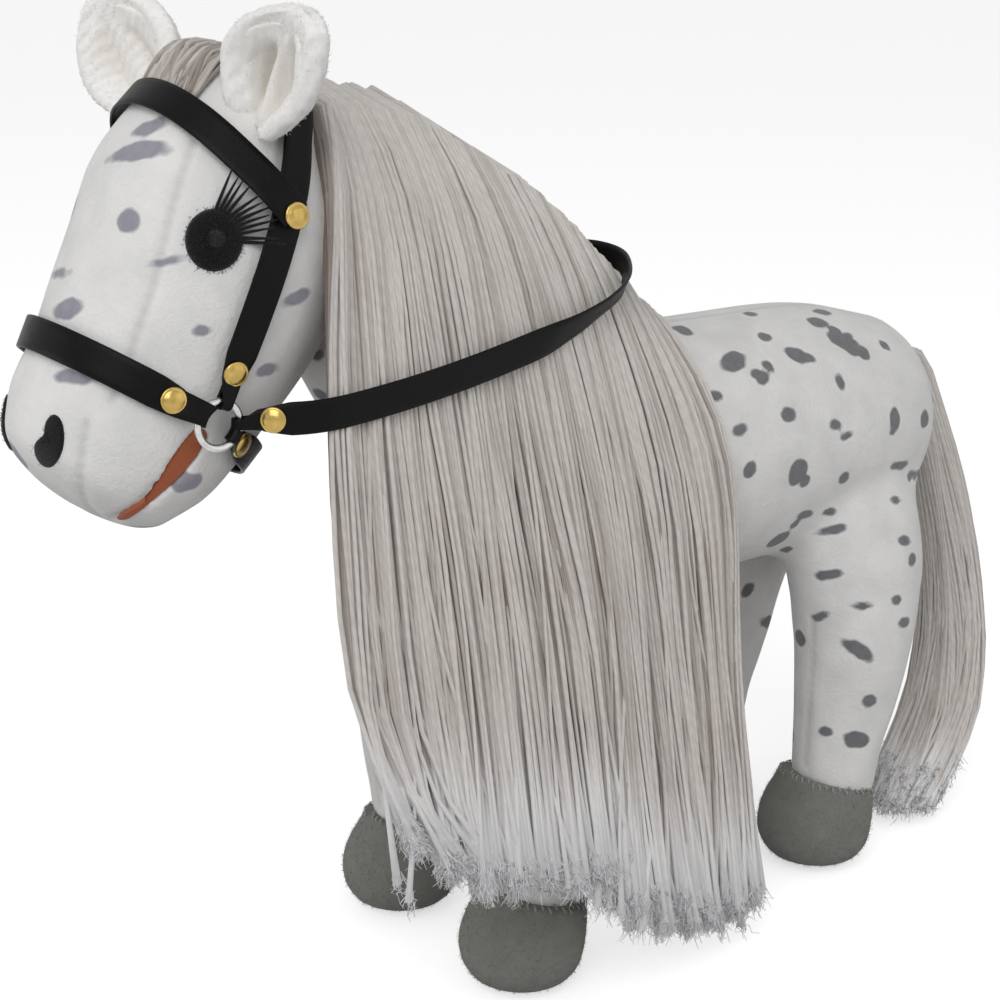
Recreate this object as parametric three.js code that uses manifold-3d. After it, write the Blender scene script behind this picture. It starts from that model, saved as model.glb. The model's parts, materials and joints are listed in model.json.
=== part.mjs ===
// A plush horse with a yarn mane and tail, soft hooves and a riveted leather bridle.
// Millimetres, +Z up. The horse faces -X, and its left side is -Y.
import * as THREE from "three";
import { mergeVertices } from "three/addons/utils/BufferGeometryUtils.js";
import Module from "manifold-3d";

const wasm = await Module();
wasm.setup();

// Stance
const wheelbase = 164;            // front hoof centres to hind hoof centres
const track = 80;                 // left hoof centres to right hoof centres
const seamGap = 0.3;              // between two soft pieces that are sewn together
const edgeTolerance = 0.001;      // vertices closer than this are one vertex

// Torso
const torsoLength = 298;          // chest to rump
const torsoDepth = 116;           // withers to belly
const torsoWidth = 108;
const torsoCentreX = 18;
const torsoCentreZ = 187;
const torsoDomeShare = 0.11;      // of the length, round at each end

// Neck
const neckLength = 165;           // inside the shoulders to inside the poll
const neckDepth = 128;            // throat to crest, at the shoulders
const neckWidth = 94;
const neckRootX = -50;
const neckRootZ = 205;
const neckSlope = 129.8;          // degrees from +X, up and forward
const neckRootDomeShare = 0.18;   // of the length, round inside the shoulders
const neckPollDomeShare = 0.15;   // of the length, round inside the head

// Head
const headLength = 158;           // poll to lips
const headDepth = 100;            // forehead to cheek, at the eyes
const headWidth = 88;
const headOriginX = -215;         // middle of the muzzle, under the noseband
const headOriginZ = 243.5;
const headSlope = 229.5;          // degrees from +X, down and forward
const pollDomeShare = 0.10;       // of the length, round at the poll
const noseDomeShare = 0.09;       // of the length, round at the nose

// Mouth and lower jaw
const mouthOpening = 6;           // felt that shows at the corner of the mouth
const mouthClosing = 1.2;         // what is left of it a head's length from the corner
const mouthRise = -6;             // middle of the mouth's corner from the middle of the muzzle
const liningInset = 0.8;          // the felt lies this far inside the muzzle's skin

// Legs and hooves
const legTop = 178;               // highest point of a leg, inside the torso
const thighDepth = 74;
const foreArmDepth = 64;
const thighWidth = 56;
const ankleWidth = 39;
const hoofWidth = 51;
const hoofHeight = 42;            // sole to the highest point of the stitched edge
const hoofEdge = 36;              // sole to the middle of the stitched edge
const hoofEdgeTilt = 15;          // degrees, higher at the toe
const heelSetback = 8;            // ankle behind the middle of the hoof
const hockSetback = 14.4;         // top of a hind leg behind its ankle
const legDomeShare = 0.1;         // of the ankle and of the leg, round at the leg's two ends
const hoofDomeShare = 0.1;        // of the hoof's height, above its stitched edge
const soleDepth = 0.5;            // the round hoof is flat where it stands

// Ears
const earLength = 45;
const earWidth = 46;
const earThickness = 6;
const earCup = 13;                // how deep the ear is folded
const earSpacing = 66;            // ear root to ear root
const liningThickness = 2.4;
const earBack = 0.03;             // shares that an ear leans back, out and turns, of its height
const earSplay = 0.55;
const earTurns = { left: 0.15, right: -0.35 };
const earRootAlongShare = -0.538; // of the head's length, from the noseband
const earRootRiseShare = 0.38;    // of the head's depth, from its axis towards the face
const earRootWidthShare = 0.62;   // the ear's width where it is sewn on, of its widest
const earMiddleShare = 0.5;       // the height where the ear is widest
const earTipShare = 0.52;         // from there to where its outline closes
const earUncupShare = 0.5;        // how much flatter the ear is at its tip
const earFirstShare = 0.04;       // lowest and highest section of an ear, of its height
const earSectionShare = 0.94;
const liningLengthShare = 0.84;   // the lining's sizes, of the ear's
const liningWidthShare = 0.72;
const liningCupShare = 0.84;
const liningSinkShare = 0.1;      // of the ear's fold, so that the lining lies in it

// Eyes, lashes and nostrils
const eyeWidth = 18.5;
const eyeHeight = 20.5;
const eyeCrown = 3.2;
const lashLength = 9;
const lashWidth = 2.2;
const lashThickness = 0.8;
const lashCount = 9;
const lashSink = 1.3;             // the fan is this far inside the skin at the middle of the eye
const lashLean = 24;              // degrees that the fan leans out from the face
const lashFirstDegrees = 35;      // from the eye's width, round its top
const lashLastDegrees = 145;
const lashTurn = 22;              // degrees that the fan turns towards the ear
const eyeAlongShare = -0.3165;    // of the head's length, from the noseband
const eyeTurn = 52;               // degrees from the middle of the face
const nostrilAlongShare = 0.1645;
const nostrilTurn = 32;
const nostrilWidth = 10;
const nostrilHeight = 18;
const nostrilCrown = 1.6;

// Bridle
const strapWidth = 11;
const strapThickness = 1.7;
const strapGap = 0.6;             // strap above the fabric under it
const ringRadius = 7.6;           // middle of the wire
const ringWire = 1.25;            // radius of the wire
const ringClearance = 0.35;       // wire to the leather loop round it
const rivetCapRadius = 4.3;
const rivetCapHeight = 1.8;
const rivetShankRadius = 1.5;
const rivetClearance = 0.25;
const rivetRimShare = 0.3;        // of the cap's height, its upright rim
const ringAlongShare = -0.035;    // of the head's length, from the noseband's middle to the ring's
const ringRiseShare = -0.046;     // of the head's depth, from its axis towards the face
const loopFoldShare = 0.7;        // of the leather's thickness, as the loop is drawn round the wire
const loopHalfAngle = 17;         // degrees of ring that a strap's loop takes to each side
const rivetReach = 17;            // middle of the ring to the nearest rivets
const nosebandTilt = 6;           // degrees that the noseband drops towards the nose
const noseSweep = 88;             // degrees of the noseband and the chin strap, to each side
const crownAlongShare = -0.46;    // middle of the crownpiece, of the head's length and depth
const crownRiseShare = 0.165;
const crownSweep = 150;           // degrees of the crownpiece, to each side
const strapSpan = 6;              // degrees between two sections of those straps
const browAlongShare = -0.455;    // middle of the browband's ends, of the head's length and depth
const browRiseShare = 0.148;
const browFrontAlongShare = -0.525;   // middle of the browband on the forehead
const browFrontRiseShare = 0.56;
const browSweep = 99;             // degrees of the browband, to each side
const browSteps = 22;
const browClimb = 20;             // degrees in which the browband climbs on the crownpiece
const browOverlap = 40;           // degrees at each end from where it starts to climb
const browGap = 1.8;              // browband above the crownpiece
const reinCrestX = -18;           // where the reins cross the crest
const reinSag = 2;                // power with which the reins rise from the rings to the crest
const reinGap = 1.5;              // reins above the yarn and the neck
const reinEyeShare = 0.4;         // where the path of the reins is seen from, between mane and crest
const reinSweep = 153;            // degrees of that view, from the crest to the front of the mane
const reinStep = 3;

// Mane
const maneThickness = 8;
const maneFrontShare = 0.63;      // the mane's root along the neck, ahead of the neck's root
const maneRearShare = 0.30;       // and behind it
const maneRoundShare = 0.88;      // of the neck's half width, where the yarn rounds the crest
const maneRightShare = 0.3;       // fall of the yarn right of the crest, for each millimetre
const maneOverhang = 5;           // how far the mane's root reaches over the crest to the right
const maneSpreadShare = 0.19;     // how far the yarn swings out for each millimetre that it hangs
const bodySpreadShare = 0.1;      // the same where it lies on the shoulder
const maneShoulder = 70;          // height over which the mane rounds from the crest to the side
const lockCount = 14;
const lockRelief = 4;
const lockTip = 9;                // a lock hangs this much lower in its middle
const lockStartShare = 0.25;      // of the way down, where the locks have parted
const lockThickShare = 0.5;       // how much of its relief thickens a lock
const maneDropPower = 1.6;        // how the sections of the mane widen down from the crest
const maneSwingPower = 3;         // how soon the yarn hangs straight
const maneFrontX = -182;
const maneRearX = 14;
const maneHemFrontZ = 112;
const maneHemRearZ = 17;

// Tape that the mane is sewn to
const tapeWidth = 8;
const tapeThickness = 1;
const tapeMiddleShare = 0.42;     // the tape's middle and length along the neck
const tapeLengthShare = 0.72;

// Forelock
const forelockAlongShare = -0.652;    // of the head's length, from the noseband
const forelockLength = 28;
const forelockWidth = 30;
const forelockThickness = 3.5;

// Tail
const tailLength = 213;
const tailWidth = 46;
const tailDepth = 26;
const tailSwing = 50;             // how far the tail's end hangs to the left
const tailClearance = 0.5;        // the tail moves beside the rump
const tailRootX = 166;
const tailRootZ = 216;
const tailRootDomeShare = 0.2;    // of the tail's depth, round inside the rump
const tailEndDomeShare = 0.03;    // of the tail's length, round at its end

// Colours
const fabricColour = 0xf0efec;
const hoofColour = 0x66675f;
const yarnColour = 0xc4bfba;
const leatherColour = 0x121212;
const brassColour = 0xb08d3e;
const steelColour = 0xc9c9c6;
const feltBlack = 0x0d0d0d;
const mouthColour = 0xb8673f;

const horse = new THREE.Group();
const toRadians = THREE.MathUtils.degToRad;
const leftAndRight = [["left", -1], ["right", 1]];
const xAxis = new THREE.Vector3(1, 0, 0);
const yAxis = new THREE.Vector3(0, 1, 0);
const zAxis = new THREE.Vector3(0, 0, 1);

function finish(colour, roughness, metalness = 0) {
  return () => new THREE.MeshStandardMaterial({ color: colour, roughness, metalness });
}

const plush = finish(fabricColour, 0.95);
const hoofFelt = finish(hoofColour, 1);
const yarn = finish(yarnColour, 0.9);
const leather = finish(leatherColour, 0.45);
const brass = finish(brassColour, 0.3, 1);
const steel = finish(steelColour, 0.25, 1);
const blackFelt = finish(feltBlack, 0.8);
const mouthFelt = finish(mouthColour, 0.95);

// A closed mesh as a solid that can be joined and cut.
function solidOf(geometry, place = new THREE.Matrix4()) {
  const bare = new THREE.BufferGeometry();
  bare.setAttribute("position", geometry.getAttribute("position").clone());
  if (geometry.index) bare.setIndex(geometry.index.clone());
  bare.applyMatrix4(place);
  const merged = mergeVertices(bare, edgeTolerance);
  return new wasm.Manifold(new wasm.Mesh({
    numProp: 3,
    vertProperties: new Float32Array(merged.getAttribute("position").array),
    triVerts: new Uint32Array(merged.index.array),
  }));
}

// A solid back as a named piece of the horse.
function addPiece(name, solid, material, parent = horse) {
  const mesh = solid.getMesh();
  const geometry = new THREE.BufferGeometry();
  geometry.setAttribute("position", new THREE.BufferAttribute(mesh.vertProperties, 3));
  geometry.setIndex(new THREE.BufferAttribute(mesh.triVerts, 1));
  geometry.computeVertexNormals();
  const piece = new THREE.Mesh(geometry, material());
  piece.name = name;
  parent.add(piece);
  return piece;
}

// A closed mesh from rings of points, each ring counter-clockwise seen from the last one.
function skinOf(rings, firstPole, lastPole) {
  const points = [firstPole, ...rings.flat(), lastPole];
  const sides = rings[0].length;
  const last = points.length - 1;
  const faces = [];
  for (let side = 0; side < sides; side += 1) {
    const next = (side + 1) % sides;
    faces.push(0, 1 + next, 1 + side);
    for (let ring = 0; ring < rings.length - 1; ring += 1) {
      const near = 1 + ring * sides;
      const far = near + sides;
      faces.push(near + side, near + next, far + next, near + side, far + next, far + side);
    }
    const rim = last - sides;
    faces.push(last, rim + side, rim + next);
  }
  const geometry = new THREE.BufferGeometry().setFromPoints(points);
  geometry.setIndex(faces);
  return geometry;
}

// Smooth values between the rows of a table, by the place counted in rows.
function between(rows, place) {
  const row = Math.min(Math.floor(place), rows.length - 2);
  const part = place - row;
  const pick = (index) => rows[Math.min(Math.max(index, 0), rows.length - 1)];
  return rows[row].map((start, column) => {
    const before = pick(row - 1)[column];
    const end = pick(row + 1)[column];
    const after = pick(row + 2)[column];
    const bend = 2 * before - 5 * start + 4 * end - after + part * (3 * (start - end) + after - before);
    return start + 0.5 * part * (end - before + part * bend);
  });
}

// The place between inside and outside where a test stops being true.
function edgeOf(isInside, inside, outside, steps = 24) {
  let near = inside;
  let far = outside;
  for (let step = 0; step < steps; step += 1) {
    const middle = (near + far) / 2;
    if (isInside(middle)) near = middle;
    else far = middle;
  }
  return near;
}

// A stuffed form: oval sections along an axis, closed by a round dome at each end. A row of sections is
// [along, rise, sideways, depth, width], where depth lies along the rise and both are whole sizes.
function stuffedForm(form) {
  const { sections, startDome, endDome, axes, origin, sides = 22, rings = 12, domeRings = 4 } = form;
  const [alongAxis, riseAxis] = axes;
  const sideAxis = new THREE.Vector3().crossVectors(alongAxis, riseAxis);
  const place = new THREE.Matrix4().makeBasis(riseAxis, sideAxis, alongAxis).setPosition(origin);
  const back = place.clone().invert();
  const first = sections[0];
  const last = sections[sections.length - 1];

  const ringAt = ([along, rise, sideways, depth, width], share, grow) => {
    const ring = [];
    for (let side = 0; side < sides; side += 1) {
      const turn = (2 * Math.PI * side) / sides;
      ring.push(new THREE.Vector3(
        rise + share * (depth / 2 + grow) * Math.cos(turn),
        sideways + share * (width / 2 + grow) * Math.sin(turn),
        along,
      ));
    }
    return ring;
  };

  const grown = (grow) => {
    const skin = [];
    for (let step = 1; step <= domeRings; step += 1) {
      const turn = (Math.PI / 2) * (step / domeRings);
      const along = first[0] - (startDome + grow) * Math.cos(turn);
      if (step < domeRings) skin.push(ringAt([along, ...first.slice(1)], Math.sin(turn), grow));
    }
    for (let ring = 0; ring <= rings; ring += 1) {
      skin.push(ringAt(between(sections, (ring / rings) * (sections.length - 1)), 1, grow));
    }
    for (let step = domeRings - 1; step > 0; step -= 1) {
      const turn = (Math.PI / 2) * (step / domeRings);
      const along = last[0] + (endDome + grow) * Math.cos(turn);
      skin.push(ringAt([along, ...last.slice(1)], Math.sin(turn), grow));
    }
    const firstPole = new THREE.Vector3(first[1], first[2], first[0] - startDome - grow);
    const lastPole = new THREE.Vector3(last[1], last[2], last[0] + endDome + grow);
    return solidOf(skinOf(skin, firstPole, lastPole), place);
  };

  const sectionAt = (along) => {
    if (along < first[0]) return [...first.slice(1), (first[0] - along) / startDome];
    if (along > last[0]) return [...last.slice(1), (along - last[0]) / endDome];
    const place = edgeOf((guess) => between(sections, guess)[0] < along, 0, sections.length - 1);
    return [...between(sections, place).slice(1), 0];
  };

  // Above zero outside the form, below zero inside it, in millimetres near the skin.
  const height = (point) => {
    const local = point.clone().applyMatrix4(back);
    const [rise, sideways, depth, width, dome] = sectionAt(local.z);
    const reach = Math.hypot((local.x - rise) / (depth / 2), (local.y - sideways) / (width / 2), dome);
    return (reach - 1) * (Math.min(depth, width) / 2);
  };

  // The skin's point on a ray from inside the form, raised by a lift, with the skin's direction there.
  const skinPoint = (from, direction, lift = 0) => {
    const ray = direction.clone().normalize();
    const at = (distance) => from.clone().addScaledVector(ray, distance);
    const reach = edgeOf((distance) => height(at(distance)) < 0, 0, headLength + torsoLength);
    const skin = at(reach);
    const probe = seamGap;
    const rate = (axis) => height(skin.clone().addScaledVector(axis, probe))
      - height(skin.clone().addScaledVector(axis, -probe));
    const out = new THREE.Vector3(rate(xAxis), rate(yAxis), rate(zAxis)).normalize();
    return { at: skin.addScaledVector(out, lift), out };
  };

  const toWorld = (along, rise, sideways = 0) => new THREE.Vector3(rise, sideways, along)
    .applyMatrix4(place);
  return { grown, height, skinPoint, toWorld, alongAxis, riseAxis, sideAxis };
}

// An axis in the horse's middle plane, by its angle from +X towards +Z.
function axisAt(degrees) {
  return new THREE.Vector3(Math.cos(toRadians(degrees)), 0, Math.sin(toRadians(degrees)));
}

// Rows of shares as sections in millimetres.
function sectionsFrom(shares, length, depth, width) {
  return shares.map(([along, rise, sideways, deep, wide]) => [
    along * length, rise * depth, sideways * width, deep * depth, wide * width,
  ]);
}

// A block with its middle at a point, along three axes.
function block(middle, axes, size) {
  const place = new THREE.Matrix4().makeBasis(...axes).setPosition(middle);
  return solidOf(new THREE.BoxGeometry(...size), place);
}

// Torso: shares along from the middle, rise, sideways, depth, width
const torsoShares = [
  [-0.39, -0.01, 0, 0.84, 0.86],
  [-0.26, 0.00, 0, 0.96, 0.97],
  [-0.08, 0.01, 0, 1.00, 1.00],
  [0.10, 0.00, 0, 0.98, 1.00],
  [0.28, -0.01, 0, 0.94, 0.97],
  [0.39, -0.02, 0, 0.82, 0.86],
];
const torso = stuffedForm({
  sections: sectionsFrom(torsoShares, torsoLength, torsoDepth, torsoWidth),
  startDome: torsoDomeShare * torsoLength,
  endDome: torsoDomeShare * torsoLength,
  axes: [xAxis, zAxis],
  origin: new THREE.Vector3(torsoCentreX, 0, torsoCentreZ),
  rings: 14,
});

// Neck: shares along from the root, rise towards the crest, sideways, depth, width
const neckShares = [
  [0.00, -0.035, 0, 0.97, 1.00],
  [0.24, -0.04, 0, 0.93, 0.97],
  [0.48, -0.03, 0, 0.84, 0.89],
  [0.67, -0.035, 0, 0.71, 0.82],
  [0.82, -0.04, 0, 0.57, 0.75],
];
const neck = stuffedForm({
  sections: sectionsFrom(neckShares, neckLength, neckDepth, neckWidth),
  startDome: neckRootDomeShare * neckLength,
  endDome: neckPollDomeShare * neckLength,
  axes: [axisAt(neckSlope), axisAt(neckSlope - 90)],
  origin: new THREE.Vector3(neckRootX, 0, neckRootZ),
  rings: 10,
});

// Head: shares along from the noseband, rise towards the face, sideways, depth, width
const headShares = [
  [-0.63, 0.22, 0, 0.62, 0.74],
  [-0.52, 0.13, 0, 0.87, 0.94],
  [-0.38, 0.08, 0, 1.00, 1.00],
  [-0.25, 0.04, 0, 0.96, 0.98],
  [-0.12, 0.02, 0, 0.89, 0.93],
  [0.00, 0.00, 0, 0.82, 0.87],
  [0.09, 0.005, 0, 0.77, 0.84],
  [0.16, 0.01, 0, 0.66, 0.75],
];
const head = stuffedForm({
  sections: sectionsFrom(headShares, headLength, headDepth, headWidth),
  startDome: pollDomeShare * headLength,
  endDome: noseDomeShare * headLength,
  axes: [axisAt(headSlope), axisAt(headSlope - 90)],
  origin: new THREE.Vector3(headOriginX, 0, headOriginZ),
  sides: 26,
  rings: 16,
});

// The mouth splits the muzzle between two planes that close towards the lips.
function mouthWedge(grow) {
  const corner = mouthOpening / 2 + grow;
  const lips = mouthClosing / 2 + grow;
  const outline = new THREE.Shape([
    new THREE.Vector2(-grow, mouthRise + corner),
    new THREE.Vector2(-grow, mouthRise - corner),
    new THREE.Vector2(headLength, mouthRise - lips),
    new THREE.Vector2(headLength, mouthRise + lips),
  ]);
  return extrudeAcross(outline);
}

// Everything of the muzzle below the mouth.
function jawBlock(grow) {
  const outline = new THREE.Shape([
    new THREE.Vector2(-grow, mouthRise),
    new THREE.Vector2(-grow, -headDepth),
    new THREE.Vector2(headLength, -headDepth),
    new THREE.Vector2(headLength, mouthRise),
  ]);
  return extrudeAcross(outline);
}

// An outline in the head's middle plane, drawn along and rise, as wide as the whole head.
function extrudeAcross(outline) {
  const geometry = new THREE.ExtrudeGeometry(outline, { depth: 2 * headWidth, bevelEnabled: false });
  const across = new THREE.Vector3().crossVectors(head.alongAxis, head.riseAxis);
  const place = new THREE.Matrix4().makeBasis(head.alongAxis, head.riseAxis, across);
  place.setPosition(head.toWorld(0, 0, -headWidth));
  return solidOf(geometry, place);
}

const torsoSolid = torso.grown(0);
const torsoSpace = torso.grown(seamGap);
const neckSpace = neck.grown(seamGap);
const headSpace = head.grown(seamGap);
const headWithoutMouth = head.grown(0).subtract(mouthWedge(seamGap)).subtract(jawBlock(seamGap));
addPiece("torso", torsoSolid, plush);
addPiece("neck", neck.grown(0).subtract(torsoSpace).subtract(headSpace), plush);
addPiece("head", headWithoutMouth, plush);
addPiece("lower_jaw", head.grown(0).intersect(jawBlock(0)).subtract(mouthWedge(seamGap)), plush);
addPiece("mouth_lining", head.grown(-liningInset).intersect(mouthWedge(0)), mouthFelt);

// Legs: shares of the height, setback of the middle, stand of the middle, depth and width
const legShares = [
  [0.16, 0.00, 1.00, 0.98, 0.98],
  [0.28, 0.25, 1.00, 1.10, 1.10],
  [0.40, 0.55, 1.00, 1.28, 1.24],
  [0.58, 0.80, 0.97, 1.44, 1.40],
];

// The top of a leg: shares of the height, stand of the middle, depth and width of the thigh
const thighShares = [
  [0.76, 0.84, 0.94, 1.00],
  [0.90, 0.70, 1.00, 0.93],
];

// Hooves: shares of the height, setback of the middle, width
const hoofShares = [
  [0.22, 0.00, 0.94],
  [0.42, 0.00, 1.00],
  [0.66, 0.30, 0.95],
  [0.90, 0.80, 0.82],
  [1.10, 1.00, 0.76],
];
const legPairs = [["front", -1, foreArmDepth, 0], ["hind", 1, thighDepth, hockSetback]];
const legSpaces = {};
const legForms = {};
for (const [pair, end, topDepth, topSetback] of legPairs) {
  for (const [hand, side] of leftAndRight) {
    const hoofX = end * wheelbase / 2;
    const hoofY = side * track / 2;
    const ankleX = hoofX + heelSetback;
    const sections = legShares.map(([height, back, stand, deep, wide]) => [
      height * legTop, ankleX + back * topSetback, stand * hoofY, deep * ankleWidth, wide * ankleWidth,
    ]);
    const thighX = ankleX + topSetback;
    for (const [height, stand, deep, wide] of thighShares) {
      sections.push([height * legTop, thighX, stand * hoofY, deep * topDepth, wide * thighWidth]);
    }
    const leg = stuffedForm({
      sections,
      startDome: legDomeShare * ankleWidth,
      endDome: legDomeShare * legTop,
      axes: [zAxis, xAxis],
      origin: new THREE.Vector3(0, 0, 0),
      sides: 16,
      rings: 9,
      domeRings: 2,
    });
    const edgeMiddle = new THREE.Vector3(ankleX, hoofY, hoofEdge);
    const edgeNormal = axisAt(90 - hoofEdgeTilt);
    const belowEdge = block(
      edgeMiddle.clone().addScaledVector(edgeNormal, -hoofWidth),
      [axisAt(-hoofEdgeTilt), yAxis, edgeNormal],
      [2 * hoofWidth, 2 * hoofWidth, 2 * hoofWidth],
    );
    const aboveGap = belowEdge.translate(edgeNormal.clone().multiplyScalar(seamGap).toArray());
    addPiece(`leg_${pair}_${hand}`, leg.grown(0).subtract(torsoSpace).subtract(aboveGap), plush);
    legSpaces[`${pair}_${hand}`] = leg.grown(seamGap);
    legForms[`${pair}_${hand}`] = leg;
    const hoof = stuffedForm({
      sections: hoofShares.map(([height, back, wide]) => [
        height * hoofHeight, hoofX + back * heelSetback, hoofY, wide * hoofWidth, wide * hoofWidth,
      ]),
      startDome: hoofShares[0][0] * hoofHeight + soleDepth,
      endDome: hoofDomeShare * hoofHeight,
      axes: [zAxis, xAxis],
      origin: new THREE.Vector3(0, 0, 0),
      sides: 18,
      rings: 6,
      domeRings: 3,
    });
    const aboveGround = block(
      new THREE.Vector3(hoofX, hoofY, hoofWidth),
      [xAxis, yAxis, zAxis],
      [2 * hoofWidth, 2 * hoofWidth, 2 * hoofWidth],
    );
    addPiece(`hoof_${pair}_${hand}`, hoof.grown(0).intersect(belowEdge).intersect(aboveGround), hoofFelt);
  }
}

// The outer side of a chain of points: hollows are bridged straight. The chain runs clockwise.
function bridged(points, horizontal, vertical) {
  const chain = [];
  for (const point of points) {
    while (chain.length > 1) {
      const [start, middle] = chain.slice(-2);
      const turn = (middle[horizontal] - start[horizontal]) * (point[vertical] - start[vertical])
        - (middle[vertical] - start[vertical]) * (point[horizontal] - start[horizontal]);
      if (turn < 0) break;
      chain.pop();
    }
    chain.push(point);
  }
  return chain;
}

// A point on a chain by its distance from the start.
function alongChain(chain, distance) {
  let left = distance;
  for (let index = 1; index < chain.length; index += 1) {
    const length = chain[index].distanceTo(chain[index - 1]);
    if (left <= length || index === chain.length - 1) {
      return chain[index - 1].clone().lerp(chain[index], left / length);
    }
    left -= length;
  }
  return chain[0].clone();
}

// A flat strap along stations of { at, out, width, thickness }, closed at both ends.
function strapSolid(stations) {
  const rings = stations.map((station, index) => {
    const before = stations[Math.max(index - 1, 0)].at;
    const after = stations[Math.min(index + 1, stations.length - 1)].at;
    const ahead = after.clone().sub(before).normalize();
    const across = new THREE.Vector3().crossVectors(station.out, ahead).normalize();
    const out = new THREE.Vector3().crossVectors(ahead, across);
    const corner = (wide, high) => station.at.clone()
      .addScaledVector(across, wide * station.width / 2)
      .addScaledVector(out, high * station.thickness / 2);
    return [corner(1, 1), corner(-1, 1), corner(-1, -1), corner(1, -1)];
  });
  const middleOf = (ring) => ring[0].clone().add(ring[2]).multiplyScalar(0.5);
  return solidOf(skinOf(rings, middleOf(rings[0]), middleOf(rings[rings.length - 1])));
}

// Rings: one on each side of the face, where four straps meet
const ringMiddle = head.toWorld(ringAlongShare * headLength, ringRiseShare * headDepth);
const loopRadius = ringWire + ringClearance + loopFoldShare * strapThickness;
const loopWidth = 2 * ringRadius * Math.sin(toRadians(loopHalfAngle));
const taperedWidth = 2 * (rivetReach - rivetCapRadius - strapGap) * Math.sin(toRadians(loopHalfAngle));
const ringTop = ringMiddle.clone().addScaledVector(head.alongAxis, -ringRadius - loopRadius);
const ringStand = head.skinPoint(ringTop, yAxis).at.y + strapGap + loopRadius;

const ringAt = (hand) => new THREE.Vector3(ringMiddle.x, hand * ringStand, ringMiddle.z);

function ringTorus(wireRadius, hand) {
  const geometry = new THREE.TorusGeometry(ringRadius, wireRadius, 6, 18);
  return solidOf(geometry, new THREE.Matrix4().makeRotationX(Math.PI / 2).setPosition(ringAt(hand)));
}

// The leather loop that a strap makes round the ring's wire, at its angle from +X towards +Z.
function ringLoop(hand, degrees) {
  const rings = [];
  const steps = 2;
  const sides = 8;
  for (let step = 0; step <= steps; step += 1) {
    const turn = toRadians(degrees + loopHalfAngle * (2 * step / steps - 1));
    const outward = new THREE.Vector3(Math.cos(turn), 0, Math.sin(turn));
    const middle = ringAt(hand).addScaledVector(outward, ringRadius);
    const ring = [];
    for (let side = 0; side < sides; side += 1) {
      const round = (2 * Math.PI * side) / sides;
      ring.push(middle.clone()
        .addScaledVector(yAxis, -loopRadius * Math.cos(round))
        .addScaledVector(outward, loopRadius * Math.sin(round)));
    }
    rings.push(ring);
  }
  const poleOf = (ring) => ring[0].clone().add(ring[sides / 2]).multiplyScalar(0.5);
  return solidOf(skinOf(rings, poleOf(rings[0]), poleOf(rings[steps])));
}

// A point on the ring's wire, where a strap's loop holds it.
function wireStation(hand, degrees) {
  const at = ringAt(hand).addScaledVector(axisAt(degrees), ringRadius + loopRadius / 2);
  return { at, out: yAxis.clone().multiplyScalar(hand), width: loopWidth, thickness: strapThickness };
}

// Stations of a strap that lies on the head, in the plane of one direction and the width, over a sweep
// of degrees to each side of that direction.
function stationsOnHead(from, forward, sweep, steps, lift = () => 0) {
  const stations = [];
  for (let step = 0; step <= steps; step += 1) {
    const degrees = sweep * (2 * step / steps - 1);
    const turn = toRadians(degrees);
    const direction = forward.clone().multiplyScalar(Math.cos(turn)).addScaledVector(yAxis, Math.sin(turn));
    const skin = head.skinPoint(from, direction, strapGap + strapThickness / 2 + lift(degrees));
    stations.push({ ...skin, width: strapWidth, thickness: strapThickness });
  }
  return stations;
}

// The station of a strap at a distance from a point, between the two stations on either side of it.
function stationNear(stations, point, distance) {
  const gap = (station) => station.at.distanceTo(point) - distance;
  for (let index = 1; index < stations.length; index += 1) {
    const near = gap(stations[index - 1]);
    const far = gap(stations[index]);
    if (near * far <= 0) {
      const share = near / (near - far);
      const at = stations[index - 1].at.clone().lerp(stations[index].at, share);
      const out = stations[index - 1].out.clone().lerp(stations[index].out, share).normalize();
      return { ...stations[index], at, out };
    }
  }
  return stations[0];
}

// The flat of a strap under a rivet: its two ends, and the rivet's own place between them.
function rivetFlat(stations, point) {
  const near = stationNear(stations, point, rivetReach - rivetCapRadius - strapGap);
  const far = stationNear(stations, point, rivetReach + rivetCapRadius + strapGap);
  const ahead = far.at.clone().sub(near.at).normalize();
  const out = near.out.clone().add(far.out);
  out.addScaledVector(ahead, -out.dot(ahead)).normalize();
  const at = near.at.clone().lerp(far.at, 0.5);
  return { near: { ...near, out, width: taperedWidth }, far: { ...far, out }, rivet: { ...near, at, out } };
}

// Straps of the head: the noseband, the chin strap and the crownpiece end in loops round both rings
const nosebandDegrees = headSlope - 90;
const chinDegrees = headSlope - 270;
const crownRoot = head.toWorld(crownAlongShare * headLength, crownRiseShare * headDepth);
const crownEdge = crownRoot.clone().sub(ringMiddle);
const crownDegrees = THREE.MathUtils.radToDeg(Math.atan2(crownEdge.z, crownEdge.x));
const crownUp = crownEdge.clone().normalize();

// A strap from ring to ring, from a path with a station at every degree
function ringedStrap(path, degrees) {
  const left = rivetFlat(path.filter((station) => station.at.y < 0), ringAt(-1));
  const right = rivetFlat(path.filter((station) => station.at.y > 0), ringAt(1));
  const middle = path.filter((station, index) => index % strapSpan === 0
    && station.at.distanceTo(ringAt(-1)) > rivetReach + strapWidth
    && station.at.distanceTo(ringAt(1)) > rivetReach + strapWidth);
  const stations = [wireStation(-1, degrees), left.near, left.far, ...middle];
  stations.push(right.far, right.near, wireStation(1, degrees));
  const grown = ({ at, out, width, thickness }) => ({
    at, out, width: width + 2 * seamGap, thickness: thickness + 2 * seamGap,
  });
  return {
    rivets: { left: left.rivet, right: right.rivet },
    spaceStations: stations.map(grown),
    solid: strapSolid(stations).add(ringLoop(-1, degrees)).add(ringLoop(1, degrees)),
  };
}

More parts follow.
